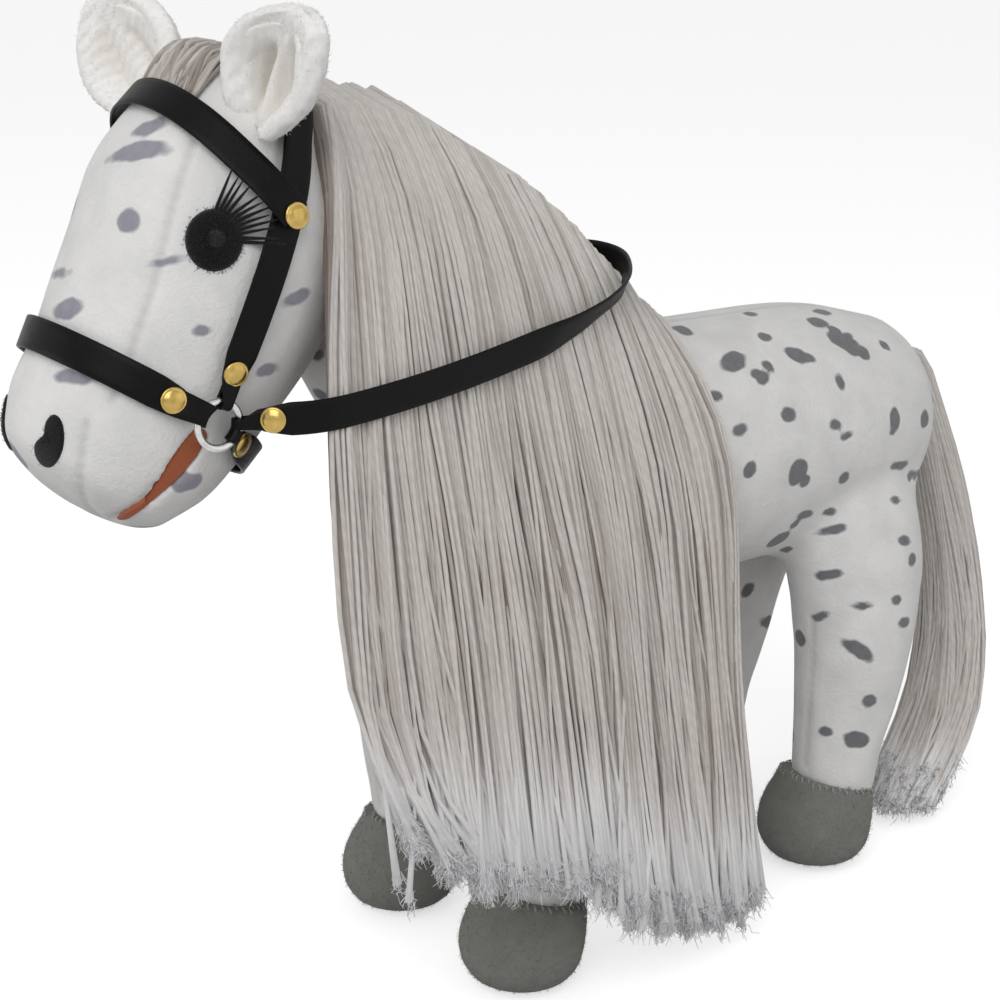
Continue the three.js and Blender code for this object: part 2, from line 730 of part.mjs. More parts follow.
const noseForward = axisAt(nosebandDegrees + nosebandTilt);
const chinForward = head.riseAxis.clone().negate();
const nosePath = stationsOnHead(ringMiddle, noseForward, noseSweep, 2 * noseSweep);
const chinPath = stationsOnHead(ringMiddle, chinForward, noseSweep, 2 * noseSweep);
const crownPath = stationsOnHead(crownRoot, crownUp, crownSweep, 2 * crownSweep);
const noseband = ringedStrap(nosePath, nosebandDegrees);
const chinStrap = ringedStrap(chinPath, chinDegrees);
const crownpiece = ringedStrap(crownPath, crownDegrees);
const crownSpace = strapSolid(crownpiece.spaceStations);

// The browband lies over the crownpiece at both ends, under one rivet
const browMiddle = head.toWorld(browAlongShare * headLength, browRiseShare * headDepth);
const browFront = head.toWorld(browFrontAlongShare * headLength, browFrontRiseShare * headDepth);
const browForward = browFront.clone().sub(browMiddle).normalize();
const browLift = (degrees) => {
  const climbed = Math.abs(degrees) - browSweep + browOverlap;
  return Math.min(1, Math.max(0, climbed / browClimb)) * (strapThickness + browGap);
};
const browStations = stationsOnHead(browMiddle, browForward, browSweep, browSteps, browLift);
let browband = strapSolid(browStations);

// Rivets: a low dome on a shank that passes through the leather
function rivetSolids(station, depth) {
  const stem = station.thickness / 2 + seamGap;
  const rim = rivetRimShare * rivetCapHeight;
  const profile = [new THREE.Vector2(0, -depth), new THREE.Vector2(rivetShankRadius, -depth)];
  profile.push(new THREE.Vector2(rivetShankRadius, stem), new THREE.Vector2(rivetCapRadius, stem));
  for (let step = 0; step <= 3; step += 1) {
    const turn = (Math.PI / 2) * (step / 3);
    profile.push(new THREE.Vector2(
      step === 3 ? 0 : rivetCapRadius * Math.cos(turn),
      stem + rim + (rivetCapHeight - rim) * Math.sin(turn),
    ));
  }
  const turned = new THREE.Quaternion().setFromUnitVectors(yAxis, station.out);
  const place = new THREE.Matrix4().makeRotationFromQuaternion(turned).setPosition(station.at);
  const hole = new THREE.CylinderGeometry(
    rivetShankRadius + rivetClearance, rivetShankRadius + rivetClearance, 3 * rivetCapRadius, 8,
  );
  return { rivet: solidOf(new THREE.LatheGeometry(profile, 10), place), hole: solidOf(hole, place) };
}

const rivets = [];
function rivetThrough(solid, name, station, depth = station.thickness / 2) {
  const made = rivetSolids(station, depth);
  rivets.push([name, made.rivet]);
  return solid.subtract(made.hole);
}

for (const [hand, side] of leftAndRight) {
  noseband.solid = rivetThrough(noseband.solid, `rivet_noseband_${hand}`, noseband.rivets[hand]);
  chinStrap.solid = rivetThrough(chinStrap.solid, `rivet_chin_${hand}`, chinStrap.rivets[hand]);
  crownpiece.solid = rivetThrough(crownpiece.solid, `rivet_cheek_${hand}`, crownpiece.rivets[hand]);
  const browEnd = browStations[side < 0 ? 1 : browStations.length - 2];
  const through = browEnd.thickness / 2 + strapThickness + seamGap;
  browband = rivetThrough(browband, `rivet_browband_${hand}`, browEnd, through);
  crownpiece.solid = crownpiece.solid.subtract(rivetSolids(browEnd, through).hole);
}

const wireSpace = leftAndRight.map(([, side]) => ringTorus(ringWire + ringClearance, side));
const clearOfRings = (solid) => solid.subtract(wireSpace[0]).subtract(wireSpace[1]);
addPiece("noseband", clearOfRings(noseband.solid), leather);
addPiece("chin_strap", clearOfRings(chinStrap.solid), leather);
addPiece("crownpiece", clearOfRings(crownpiece.solid), leather);
addPiece("browband", browband, leather);
for (const [name, rivet] of rivets) addPiece(name, rivet, brass);
for (const [hand, side] of leftAndRight) addPiece(`ring_${hand}`, ringTorus(ringWire, side), steel);

// Ears: a cupped leaf of long-pile fabric with a lining in its hollow
function earLeaf({ length, width, cup, thickness, forward }) {
  const steps = 6;
  const columns = 6;
  const spread = (height) => (height < earMiddleShare
    ? earRootWidthShare + (1 - earRootWidthShare) * Math.sin(Math.PI * height)
    : Math.sqrt(Math.max(0, 1 - ((height - earMiddleShare) / earTipShare) ** 2)));
  const cupAt = (height) => cup * (1 - earUncupShare * height);
  const rings = [];
  for (let step = 0; step <= steps; step += 1) {
    const height = earFirstShare + earSectionShare * (step / steps);
    const half = (width / 2) * spread(height);
    const depth = cupAt(height);
    const edge = Math.sqrt(1 - (2 * height - 1) ** 4);
    const point = (across, sign) => {
      const slope = (2 * depth * across) / half;
      const out = new THREE.Vector3(-slope, 1, 0).normalize();
      const thick = sign * (thickness / 2) * edge * Math.sqrt(1 - across ** 4);
      return new THREE.Vector3(half * across, forward - depth * (1 - across ** 2), length * height)
        .addScaledVector(out, thick);
    };
    const ring = [];
    for (let column = 0; column < columns; column += 1) ring.push(point(1 - 2 * column / columns, 1));
    for (let column = 0; column < columns; column += 1) ring.push(point(2 * column / columns - 1, -1));
    rings.push(ring);
  }
  const poleAt = (height) => new THREE.Vector3(0, forward - cupAt(height), length * height);
  return skinOf(rings, poleAt(0), poleAt(1));
}

for (const [hand, side] of leftAndRight) {
  const up = new THREE.Vector3(earBack, side * earSplay, 1).normalize();
  const facing = new THREE.Vector3(-1, side * earTurns[hand], 0);
  facing.addScaledVector(up, -facing.dot(up)).normalize();
  const across = new THREE.Vector3().crossVectors(facing, up);
  const place = new THREE.Matrix4().makeBasis(across, facing, up);
  const root = head.toWorld(earRootAlongShare * headLength, earRootRiseShare * headDepth);
  place.setPosition(root.x, side * earSpacing / 2, root.z);
  const shell = solidOf(earLeaf({
    length: earLength, width: earWidth, cup: earCup, thickness: earThickness, forward: 0,
  }), place).subtract(headSpace).subtract(crownSpace);
  const lining = solidOf(earLeaf({
    length: liningLengthShare * earLength,
    width: liningWidthShare * earWidth,
    cup: liningCupShare * earCup,
    thickness: liningThickness,
    forward: earThickness / 2 + liningThickness / 2 - liningSinkShare * earCup,
  }), place);
  const lifted = lining.subtract(headSpace).subtract(crownSpace).subtract(shell);
  addPiece(`ear_${hand}`, shell, plush);
  addPiece(`ear_lining_${hand}`, lifted, plush);
}

// Eyes and nostrils: low domes of felt on the skin
function feltDome(alongShare, turnDegrees, side, width, height, crown) {
  const from = head.toWorld(alongShare * headLength, 0);
  const turn = toRadians(turnDegrees);
  const towards = head.riseAxis.clone().multiplyScalar(Math.cos(turn));
  towards.addScaledVector(yAxis, side * Math.sin(turn));
  const { at, out } = head.skinPoint(from, towards);
  const up = head.alongAxis.clone().negate();
  up.addScaledVector(out, -up.dot(out)).normalize();
  const across = new THREE.Vector3().crossVectors(up, out);
  const place = new THREE.Matrix4().makeBasis(across, up, out).setPosition(at);
  const unit = new THREE.SphereGeometry(1, 16, 8);
  const dome = (grow) => {
    const size = new THREE.Matrix4().makeScale(width / 2 + grow, height / 2 + grow, crown + grow);
    return solidOf(unit, place.clone().multiply(size));
  };
  return { solid: dome(0).subtract(headSpace), space: dome(seamGap), place };
}

// One lash after another along the eye's upper edge: shares of the pitch, and whether it is at the tip
const lashOutlineShares = [[0, false], [0.25, false], [0.44, true], [0.56, true], [0.75, false]];
const lashEdgeSteps = 8;
function lashFan() {
  const inner = eyeWidth / 2 - lashWidth / 2;
  const root = eyeWidth / 2 + lashWidth / 2;
  const tip = root + lashLength;
  const at = (radius, degrees) => new THREE.Vector2(
    radius * Math.cos(toRadians(degrees)), radius * Math.sin(toRadians(degrees)),
  );
  const pitch = (lashLastDegrees - lashFirstDegrees) / lashCount;
  const outline = [];
  for (let lash = 0; lash < lashCount; lash += 1) {
    for (const [share, isTip] of lashOutlineShares) {
      outline.push(at(isTip ? tip : root, lashFirstDegrees + (lash + share) * pitch));
    }
  }
  outline.push(at(root, lashLastDegrees));
  for (let step = lashEdgeSteps; step >= 0; step -= 1) {
    outline.push(at(inner, lashFirstDegrees + lashCount * pitch * (step / lashEdgeSteps)));
  }
  return new THREE.ExtrudeGeometry(new THREE.Shape(outline), { depth: lashThickness, bevelEnabled: false });
}

for (const [hand, side] of leftAndRight) {
  const eye = feltDome(eyeAlongShare, eyeTurn, side, eyeWidth, eyeHeight, eyeCrown);
  addPiece(`eye_${hand}`, eye.solid, blackFelt);
  const nostril = feltDome(
    nostrilAlongShare, nostrilTurn, side, nostrilWidth, nostrilHeight, nostrilCrown,
  );
  addPiece(`nostril_${hand}`, nostril.solid, blackFelt);
  const lashPlace = eye.place.clone()
    .multiply(new THREE.Matrix4().makeTranslation(0, 0, -lashSink))
    .multiply(new THREE.Matrix4().makeRotationZ(toRadians(side * lashTurn)))
    .multiply(new THREE.Matrix4().makeRotationX(toRadians(lashLean)));
  const lashes = solidOf(lashFan(), lashPlace).subtract(headSpace).subtract(eye.space);
  addPiece(`eyelashes_${hand}`, lashes, blackFelt);
}

// What the yarn of the mane lies on, left of the middle
const underMane = [head, neck, torso, legForms.front_left];
const heightAbove = (forms, point) => Math.min(...forms.map((form) => form.height(point)));

// How far from the middle plane the mane's outside is, at a place beside the horse.
function levelReach(forms, x, z, stand) {
  const point = new THREE.Vector3(x, 0, z);
  if (heightAbove(forms, point) > stand) return 0;
  return edgeOf((y) => heightAbove(forms, point.set(x, -y, z)) < stand, 0, torsoWidth, 12);
}

// The crest's line from the poll to the withers, bridged over the hollow behind the poll.
const maneRootFront = neckRootX - maneFrontShare * neckLength;
const maneRootRear = neckRootX + maneRearShare * neckLength;
const crestSteps = 16;
const crestPoints = [];
for (let step = 0; step <= crestSteps; step += 1) {
  const x = maneRootFront + (maneRootRear - maneRootFront) * (step / crestSteps);
  const top = edgeOf(
    (z) => heightAbove([head, neck, torso], new THREE.Vector3(x, 0, z)) < maneThickness,
    torsoCentreZ, neckRootZ + 2 * neckLength, 16,
  );
  crestPoints.push(new THREE.Vector3(x, 0, top));
}
const crestLine = bridged(crestPoints, "x", "z");
function crestHeight(x) {
  const beyond = crestLine.findIndex((point) => point.x >= x);
  const after = beyond < 0 ? crestLine.length - 1 : Math.max(1, beyond);
  const [start, end] = [crestLine[after - 1], crestLine[after]];
  return start.z + (end.z - start.z) * ((x - start.x) / (end.x - start.x));
}

// Yarn rounds the crest like a quarter of an oval, and below that it spreads as it hangs.
function maneReach(x, z, drop) {
  const share = Math.min(1, drop / maneShoulder);
  const oval = (maneRoundShare * neckWidth / 2 + maneThickness) * Math.sqrt(1 - (1 - share) ** 2);
  const hanging = Math.max(0, drop - maneShoulder);
  const fromCrest = oval + maneSpreadShare * hanging;
  return Math.max(fromCrest, levelReach(underMane, x, z, maneThickness) + hanging * bodySpreadShare);
}

// A sheet between an outer and an inner grid of points, closed round its edges.
function thickSheet(outer, inner) {
  const columns = outer.length;
  const rows = outer[0].length;
  const points = [...outer.flat(), ...inner.flat()];
  const half = columns * rows;
  const faces = [];
  const quad = (a, b, c, d) => faces.push(a, b, c, a, c, d);
  const at = (column, row) => column * rows + row;
  for (let column = 0; column < columns - 1; column += 1) {
    for (let row = 0; row < rows - 1; row += 1) {
      const [a, b] = [at(column, row), at(column, row + 1)];
      const [c, d] = [at(column + 1, row + 1), at(column + 1, row)];
      quad(a, b, c, d);
      quad(half + d, half + c, half + b, half + a);
    }
    const [first, last] = [0, rows - 1];
    quad(at(column + 1, first), half + at(column + 1, first), half + at(column, first), at(column, first));
    quad(at(column, last), half + at(column, last), half + at(column + 1, last), at(column + 1, last));
  }
  for (let row = 0; row < rows - 1; row += 1) {
    const [first, last] = [0, columns - 1];
    quad(at(first, row), half + at(first, row), half + at(first, row + 1), at(first, row + 1));
    quad(at(last, row + 1), half + at(last, row + 1), half + at(last, row), at(last, row));
  }
  const geometry = new THREE.BufferGeometry().setFromPoints(points);
  geometry.setIndex(faces);
  return geometry;
}

// Shares of the mane's width, and of its hem's rise from the rear to the front
const hemShares = [[1.0], [0.72], [0.45], [0.27], [0.12], [0.05], [0.0]];
const maneColumns = 3 * lockCount;
const maneRows = 11;
const crestRows = 2;
const maneOuter = [];
const maneInner = [];
for (let column = 0; column <= maneColumns; column += 1) {
  const across = column / maneColumns;
  const ridge = Math.abs(Math.sin(Math.PI * lockCount * across));
  const rootX = maneRootFront + (maneRootRear - maneRootFront) * across;
  const hemX = maneFrontX + (maneRearX - maneFrontX) * across;
  const top = crestHeight(rootX) - lockRelief * (1 - ridge) / 2;
  const [hemRise] = between(hemShares, across * (hemShares.length - 1));
  const hem = maneHemRearZ + (maneHemFrontZ - maneHemRearZ) * hemRise;
  const bottom = hem + lockTip * (1 - ridge);
  const outerColumn = [];
  const innerColumn = [];
  for (let row = crestRows; row > 0; row -= 1) {
    const aside = maneOverhang * (row / crestRows);
    outerColumn.push(new THREE.Vector3(rootX, aside, top - maneRightShare * aside));
    innerColumn.push(new THREE.Vector3(rootX, aside, top - 2 * maneThickness));
  }
  let widest = 0;
  for (let row = 0; row <= maneRows; row += 1) {
    const share = row / maneRows;
    const lowered = share ** maneDropPower;
    const z = top + (bottom - top) * lowered;
    const x = hemX + (rootX - hemX) * (1 - lowered) ** maneSwingPower;
    widest = Math.max(widest, maneReach(x, z, crestHeight(rootX) - z));
    const parted = Math.min(1, lowered / lockStartShare);
    const y = row === 0 ? 0 : widest - lockRelief * (1 - ridge) * parted;
    const thick = Math.min(y, maneThickness + lockThickShare * lockRelief * ridge);
    const innerDrop = 2 * maneThickness * Math.max(0, 1 - share / lockStartShare);
    outerColumn.push(new THREE.Vector3(x, -y, z));
    innerColumn.push(new THREE.Vector3(x, -(y - thick), z - innerDrop));
  }
  maneOuter.push(outerColumn);
  maneInner.push(innerColumn);
}

// The tape that the yarn is stitched to, in the seam along the crest
function crestStrip(inside, outside, width) {
  const middle = neck.toWorld(tapeMiddleShare * neckLength, neckDepth / 2);
  const size = [neckDepth, width, tapeLengthShare * neckLength + width];
  return neck.grown(outside).subtract(neck.grown(inside))
    .intersect(block(middle, [neck.riseAxis, neck.sideAxis, neck.alongAxis], size))
    .subtract(torsoSpace).subtract(headSpace);
}
addPiece("mane_tape", crestStrip(seamGap, seamGap + tapeThickness, tapeWidth), blackFelt);
const tapeSpace = crestStrip(0, tapeThickness + 2 * seamGap, tapeWidth + 2 * seamGap);

const mane = solidOf(thickSheet(maneOuter, maneInner))
  .subtract(torsoSpace).subtract(neckSpace).subtract(headSpace)
  .subtract(legSpaces.front_left).subtract(crownSpace).subtract(tapeSpace);
addPiece("mane", mane, yarn);

// The forelock: yarn brought forward over the poll, between the ears
const forelockPlace = new THREE.Matrix4()
  .makeBasis(head.alongAxis, head.riseAxis, head.sideAxis)
  .setPosition(head.toWorld(forelockAlongShare * headLength, headDepth / 2))
  .multiply(new THREE.Matrix4().makeScale(forelockLength / 2, headDepth / 2, forelockWidth / 2));
const forelock = head.grown(seamGap + forelockThickness)
  .intersect(solidOf(new THREE.SphereGeometry(1, 18, 8), forelockPlace))
  .subtract(headSpace).subtract(crownSpace).subtract(neckSpace).subtract(mane);
addPiece("forelock", forelock, yarn);

// Tail: a bunch of yarn that hangs from the dock and swings to the left. Shares of its length and width
const tailShares = [
  [0.00, -0.010, 0.00, 0.42, 0.34],
  [0.08, 0.038, 0.06, 0.55, 0.40],
  [0.25, 0.105, 0.12, 0.62, 0.48],
  [0.36, 0.140, 0.15, 0.70, 0.57],
  [0.52, 0.174, 0.20, 0.80, 0.66],
  [0.66, 0.155, 0.30, 0.94, 0.80],
  [0.78, 0.108, 0.44, 1.05, 0.87],
  [0.89, 0.030, 0.60, 1.18, 0.86],
  [0.97, -0.050, 0.74, 1.25, 0.80],
];
const tailRoot = new THREE.Vector3(tailRootX, 0, tailRootZ);
const tailForm = stuffedForm({
  sections: tailShares.map(([drop, back, left, deep, wide]) => [
    drop * tailLength, back * tailLength, left * tailSwing, deep * tailDepth, wide * tailWidth,
  ]),
  startDome: tailRootDomeShare * tailDepth,
  endDome: tailEndDomeShare * tailLength,
  axes: [zAxis.clone().negate(), xAxis],
  origin: tailRoot,
  sides: 20,
  rings: 12,
  domeRings: 3,
});
const tail = tailForm.grown(0).subtract(torso.grown(tailClearance));
addPiece("tail", tail, yarn);

// The mane's outside at a height beside one of its columns, on the left
function columnAt(column, z) {
  const rows = column.slice(crestRows);
  const below = rows.findIndex((point) => point.z <= z);
  if (below < 1) return null;
  const [start, end] = [rows[below - 1], rows[below]];
  return start.clone().lerp(end, (start.z - z) / (start.z - end.z));
}

// How far to the left the highest locks stand beside a place; nothing where no yarn hangs
function maneStand(x, z) {
  if (z > crestHeight(x)) return 0;
  const points = maneOuter.map((column) => columnAt(column, z));
  const lockWidth = (maneRootRear - maneRootFront) / lockCount;
  const near = points.filter((point) => point && Math.abs(point.x - x) < lockWidth / 2);
  return Math.max(0, ...near.map((point) => -point.y));
}

// Reins: one strap from ring to ring that lies on the mane, over the crest and on the neck
const reinEnd = wireStation(-1, 0).at;
const crestTop = crestHeight(reinCrestX);
const reinHeight = (x) => ringMiddle.z + (crestTop - ringMiddle.z)
  * Math.max(0, (x - ringMiddle.x) / (reinCrestX - ringMiddle.x)) ** reinSag;
const reinEyeX = maneFrontX + reinEyeShare * (reinCrestX - maneFrontX);

// The direction across the strap: upright beside the neck and along the crest on top of it
function reinAcross(x) {
  const share = Math.min(1, Math.max(0, (x - reinEyeX) / (reinCrestX - reinEyeX)));
  const rise = crestHeight(reinCrestX - strapWidth) - crestTop;
  const alongCrest = new THREE.Vector3(-strapWidth, 0, rise).normalize();
  return zAxis.clone().lerp(alongCrest, share ** reinSag).normalize();
}

function underReins(point, side) {
  if (heightAbove([head, neck, torso], point) < strapGap) return true;
  if (side < 0) return -point.y < maneStand(point.x, point.z);
  const top = crestHeight(point.x);
  return point.y < maneOverhang + strapGap && point.z < top && point.z > top - 2 * maneThickness;
}

function reinPath(side) {
  const points = [new THREE.Vector3(reinEnd.x, Math.abs(reinEnd.y), reinEnd.z)];
  for (let degrees = reinSweep; degrees >= 0; degrees -= reinStep) {
    const turn = toRadians(degrees);
    const at = (reach) => {
      const x = reinEyeX + reach * Math.cos(turn);
      return new THREE.Vector3(x, side * reach * Math.sin(turn), reinHeight(x));
    };
    const isUnder = (reach) => [-1, 0, 1].some((edge) => {
      const middle = at(reach);
      return underReins(middle.addScaledVector(reinAcross(middle.x), edge * strapWidth / 2), side);
    });
    const point = at(edgeOf(isUnder, 0, torsoLength, 16) + reinGap + strapThickness / 2);
    points.push(new THREE.Vector3(point.x, Math.abs(point.y), point.z));
  }
  const corners = bridged(points, "x", "y");
  const path = [corners[0]];
  for (const corner of corners.slice(1)) {
    const from = path[path.length - 1];
    const pieces = path.length > 1 ? Math.ceil(corner.distanceTo(from) / strapWidth) : 1;
    for (let piece = 1; piece <= pieces; piece += 1) path.push(from.clone().lerp(corner, piece / pieces));
  }
  return path.map(({ x, y }) => new THREE.Vector3(x, side * y, reinHeight(x)));
}

// The flat under the rivet comes straight from the ring
function withRivet(path) {
  const [start, next] = path;
  const near = rivetReach - rivetCapRadius - strapGap - ringRadius;
  const far = near + 2 * (rivetCapRadius + strapGap);
  const toward = next.clone().sub(start).normalize();
  const at = (distance) => start.clone().addScaledVector(toward, distance);
  return { chain: [start, at(near), at(far), ...path.slice(1)], rivetAt: at((near + far) / 2), toward };
}

const reinLeft = withRivet(reinPath(-1));
const reinRight = withRivet(reinPath(1));
const reinChain = [...reinLeft.chain, ...reinRight.chain.slice(0, -1).reverse()];
const reinWidths = reinChain.map(() => strapWidth);
for (const [index, width] of [loopWidth, taperedWidth].entries()) {
  reinWidths[index] = width;
  reinWidths[reinWidths.length - 1 - index] = width;
}
const reinStations = reinChain.map((at, index) => {
  const before = reinChain[Math.max(index - 1, 0)];
  const after = reinChain[Math.min(index + 1, reinChain.length - 1)];
  const out = after.clone().sub(before).cross(reinAcross(at.x)).normalize();
  return { at, out, width: reinWidths[index], thickness: strapThickness };
});
let reins = strapSolid(reinStations);
for (const [hand, side, { rivetAt, toward }] of [["left", -1, reinLeft], ["right", 1, reinRight]]) {
  const out = toward.clone().cross(zAxis).multiplyScalar(-side).normalize();
  const made = rivetSolids({ at: rivetAt, out, thickness: strapThickness }, strapThickness / 2);
  addPiece(`rivet_rein_${hand}`, made.rivet, brass);
  reins = reins.add(ringLoop(side, 0)).subtract(made.hole);
}
addPiece("reins", clearOfRings(reins), leather);

// The middle of the ground under the horse is the origin
const extent = new THREE.Box3().setFromObject(horse);
horse.position.set(-(extent.min.x + extent.max.x) / 2, -(extent.min.y + extent.max.y) / 2, -extent.min.z);

export default horse;
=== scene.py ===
import json
import math

import bmesh
import bpy
import numpy as np
from mathutils import Matrix, Vector
from mathutils.bvhtree import BVHTree

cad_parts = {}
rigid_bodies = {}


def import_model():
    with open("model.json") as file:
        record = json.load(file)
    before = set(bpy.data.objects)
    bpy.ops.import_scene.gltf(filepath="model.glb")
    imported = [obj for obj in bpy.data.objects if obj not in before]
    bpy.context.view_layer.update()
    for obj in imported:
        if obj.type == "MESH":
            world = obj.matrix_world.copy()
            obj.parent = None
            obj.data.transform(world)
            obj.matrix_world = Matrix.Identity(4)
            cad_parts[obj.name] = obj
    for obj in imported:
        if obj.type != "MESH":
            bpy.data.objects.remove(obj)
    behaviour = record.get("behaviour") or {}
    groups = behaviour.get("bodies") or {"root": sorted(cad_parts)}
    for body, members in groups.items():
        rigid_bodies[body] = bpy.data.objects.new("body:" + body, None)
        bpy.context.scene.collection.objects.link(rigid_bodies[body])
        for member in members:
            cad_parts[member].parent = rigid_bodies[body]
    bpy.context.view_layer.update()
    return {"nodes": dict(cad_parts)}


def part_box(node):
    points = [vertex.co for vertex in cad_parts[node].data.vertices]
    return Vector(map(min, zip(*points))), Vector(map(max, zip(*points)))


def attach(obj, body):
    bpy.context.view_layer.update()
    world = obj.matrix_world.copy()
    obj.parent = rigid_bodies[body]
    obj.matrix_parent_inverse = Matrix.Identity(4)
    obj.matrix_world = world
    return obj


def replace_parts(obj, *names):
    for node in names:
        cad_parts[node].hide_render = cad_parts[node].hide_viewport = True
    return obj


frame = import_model()
nodes = frame["nodes"]

# The paper pattern. The horse is cut from a pattern drawn in millimetres about a point under its
# middle; the barrel of the body says where that point lies on the table.
mm = 0.001
barrel_low, barrel_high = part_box("torso")
behind_barrel = 18 * mm
pattern_zero = Vector((
    (barrel_low.x + barrel_high.x) / 2 - behind_barrel, (barrel_low.y + barrel_high.y) / 2, 0,
))
middle_y = pattern_zero.y


def at(x, y, z):
    """A place of the pattern, in metres in the frame."""
    return Vector((x, y, z)) * mm + pattern_zero


def slope(degrees):
    """A direction in the middle plane, by its angle from +X up towards +Z."""
    return Vector((math.cos(math.radians(degrees)), 0, math.sin(math.radians(degrees))))


# The photograph. A short telephoto lens stands ahead of the horse on its left, a little above its
# back, so the face is nearer than the rump.
focal_share, film_wide = 1.976, 36
camera_place, looked_at = at(-511, -569, 407), at(-61, 0, 181)


def placed(name, data):
    """A new object of the scene."""
    made = bpy.data.objects.new(name, data)
    bpy.context.collection.objects.link(made)
    return made


def aimed(thing, place, target):
    """Puts a camera or a lamp at a place and turns it to a target."""
    thing.location = place
    thing.rotation_mode = "QUATERNION"
    thing.rotation_quaternion = (target - place).to_track_quat("-Z", "Y")


camera = placed("camera", bpy.data.cameras.new("camera"))
aimed(camera, camera_place, looked_at)
camera.data.sensor_width = film_wide
camera.data.lens = film_wide * focal_share
bpy.context.scene.camera = camera


def sight(across, down):
    """The direction in which the camera sees a place of the picture, counted in 1000 parts."""
    ray = Vector(((across - 500) / 1000 / focal_share, (500 - down) / 1000 / focal_share, -1))
    return (camera.rotation_quaternion @ ray).normalized()


# The skin. Short-pile white cloth is cut in panels, sewn and stuffed hard. It is drawn over the
# forms of the frame, blown up by its stuffing and pulled in where it is sewn.
def loose_copy(name):
    """One closed mesh of a CAD solid, which may be shaped."""
    mesh = nodes[name].data.copy()
    shape = placed(f"{name}_form", mesh)
    welder = bmesh.new()
    welder.from_mesh(mesh)
    bmesh.ops.remove_doubles(welder, verts=welder.verts, dist=0.001 * mm)
    welder.to_mesh(mesh)
    welder.free()
    return shape


def points_of(piece, kind="co"):
    flat = np.empty(3 * len(piece.data.vertices), np.float32)
    piece.data.vertices.foreach_get(kind, flat)
    return flat.reshape(-1, 3).astype(float)


def normals_of(piece):
    return points_of(piece, "normal")


def unit(ways):
    """The same directions, each of length 1."""
    return ways / (np.linalg.norm(ways, axis=-1, keepdims=True) + 1e-12)


def faces_of(piece):
    return [list(face.vertices) for face in piece.data.polygons]


def set_points(piece, points):
    piece.data.vertices.foreach_set("co", np.asarray(points, np.float32).ravel())
    piece.data.update()


def tell(piece, word, values):
    """A number for each point of a piece, which its material reads by a word."""
    told = piece.data.attributes.new(word, "FLOAT", "POINT")
    told.data.foreach_set("value", np.asarray(values, np.float32))


def only(piece):
    bpy.ops.object.select_all(action="DESELECT")
    piece.select_set(True)
    bpy.context.view_layer.objects.active = piece


def finish_with(piece, kind, **settings):
    """A modifier made and applied at once."""
    only(piece)
    made = piece.modifiers.new(kind.lower(), kind)
    for name, value in settings.items():
        setattr(made, name, value)
    bpy.ops.object.modifier_apply(modifier=made.name)


def drawn_over(name, parts, square, ease):
    """Skin in even squares over some CAD solids, smaller than them by the ease."""
    forms = [loose_copy(part) for part in parts]
    for form in forms:
        set_points(form, points_of(form) + normals_of(form) * 0.5 * mm)
    bpy.ops.object.select_all(action="DESELECT")
    for form in forms:
        form.select_set(True)
    bpy.context.view_layer.objects.active = forms[0]
    if len(forms) > 1:
        bpy.ops.object.join()
    skin = forms[0]
    skin.name = skin.data.name = name
    skin.data.materials.clear()
    finish_with(skin, "REMESH", mode="VOXEL", voxel_size=square, use_smooth_shade=True)
    finish_with(skin, "SMOOTH", factor=0.5, iterations=3)
    set_points(skin, points_of(skin) - normals_of(skin) * (ease + 0.5 * mm))
    return skin


def stuffed(skin, most, frames=20):
    """Stuffing presses the cloth outwards, and no point moves further than the most."""
    rest = points_of(skin)
    only(skin)
    cloth = skin.modifiers.new("stuffing", "CLOTH")
    cloth.settings.quality = 4
    cloth.settings.use_pressure = True
    cloth.settings.uniform_pressure_force = 4
    cloth.settings.effector_weights.gravity = 0
    cloth.point_cache.frame_end = frames
    for step in range(1, frames + 1):
        bpy.context.scene.frame_set(step)
    trough_shade = skin.evaluated_get(bpy.context.evaluated_depsgraph_get())
    moved = points_of(trough_shade) - rest
    skin.modifiers.remove(cloth)
    bpy.context.scene.frame_set(1)
    reach = np.linalg.norm(moved, axis=1, keepdims=True)
    set_points(skin, rest + moved * np.minimum(1, most / np.maximum(reach, 1e-9)))


def surface_of(*pieces):
    """The faces of some pieces, for finding places on them."""
    corners, faces = [], []
    for piece in pieces:
        start = len(corners)
        corners += [vertex.co.copy() for vertex in piece.data.vertices]
        faces += [[start + index for index in face] for face in faces_of(piece)]
    return BVHTree.FromPolygons(corners, faces)


def sewn_in(piece, lines, depth, width):
    """Pulls the skin in along seams, and a little deeper at every stitch."""
    stitch = 4.6 * mm
    points = points_of(piece)
    pull = np.zeros(len(points))
    for line in lines:
        run = 0
        for start, end in zip(line[:-1], line[1:]):
            start, step = np.array(start), np.array(end) - np.array(start)
            length = np.linalg.norm(step)
            share = np.clip((points - start) @ step / length ** 2, 0, 1)
            away = np.linalg.norm(points - start - share[:, None] * step, axis=1)
            pucker = 0.88 + 0.12 * np.cos(2 * math.pi * (run + share * length) / stitch)
            pull = np.maximum(pull, np.exp(-((away / width) ** 2)) * pucker)
            run += length
    set_points(piece, points - normals_of(piece) * (depth * pull)[:, None])
    # The pull is told to the cloth, which paints shade into the seam grooves by it
    tell(piece, "seam", pull)


def drawn_smooth(piece, middles, reach, rounds):
    """Draws the cloth tight over the hollows around some places."""
    away = np.min([np.linalg.norm(points_of(piece) - np.array(middle), axis=1) for middle in middles], axis=0)
    pulled = piece.vertex_groups.new(name="pulled")
    for index, share in enumerate(np.clip(1.6 - 1.6 * away / reach, 0, 1)):
        if share > 0:
            pulled.add([index], share, "REPLACE")
    finish_with(piece, "SMOOTH", factor=0.5, iterations=rounds, vertex_group="pulled")
    piece.vertex_groups.clear()


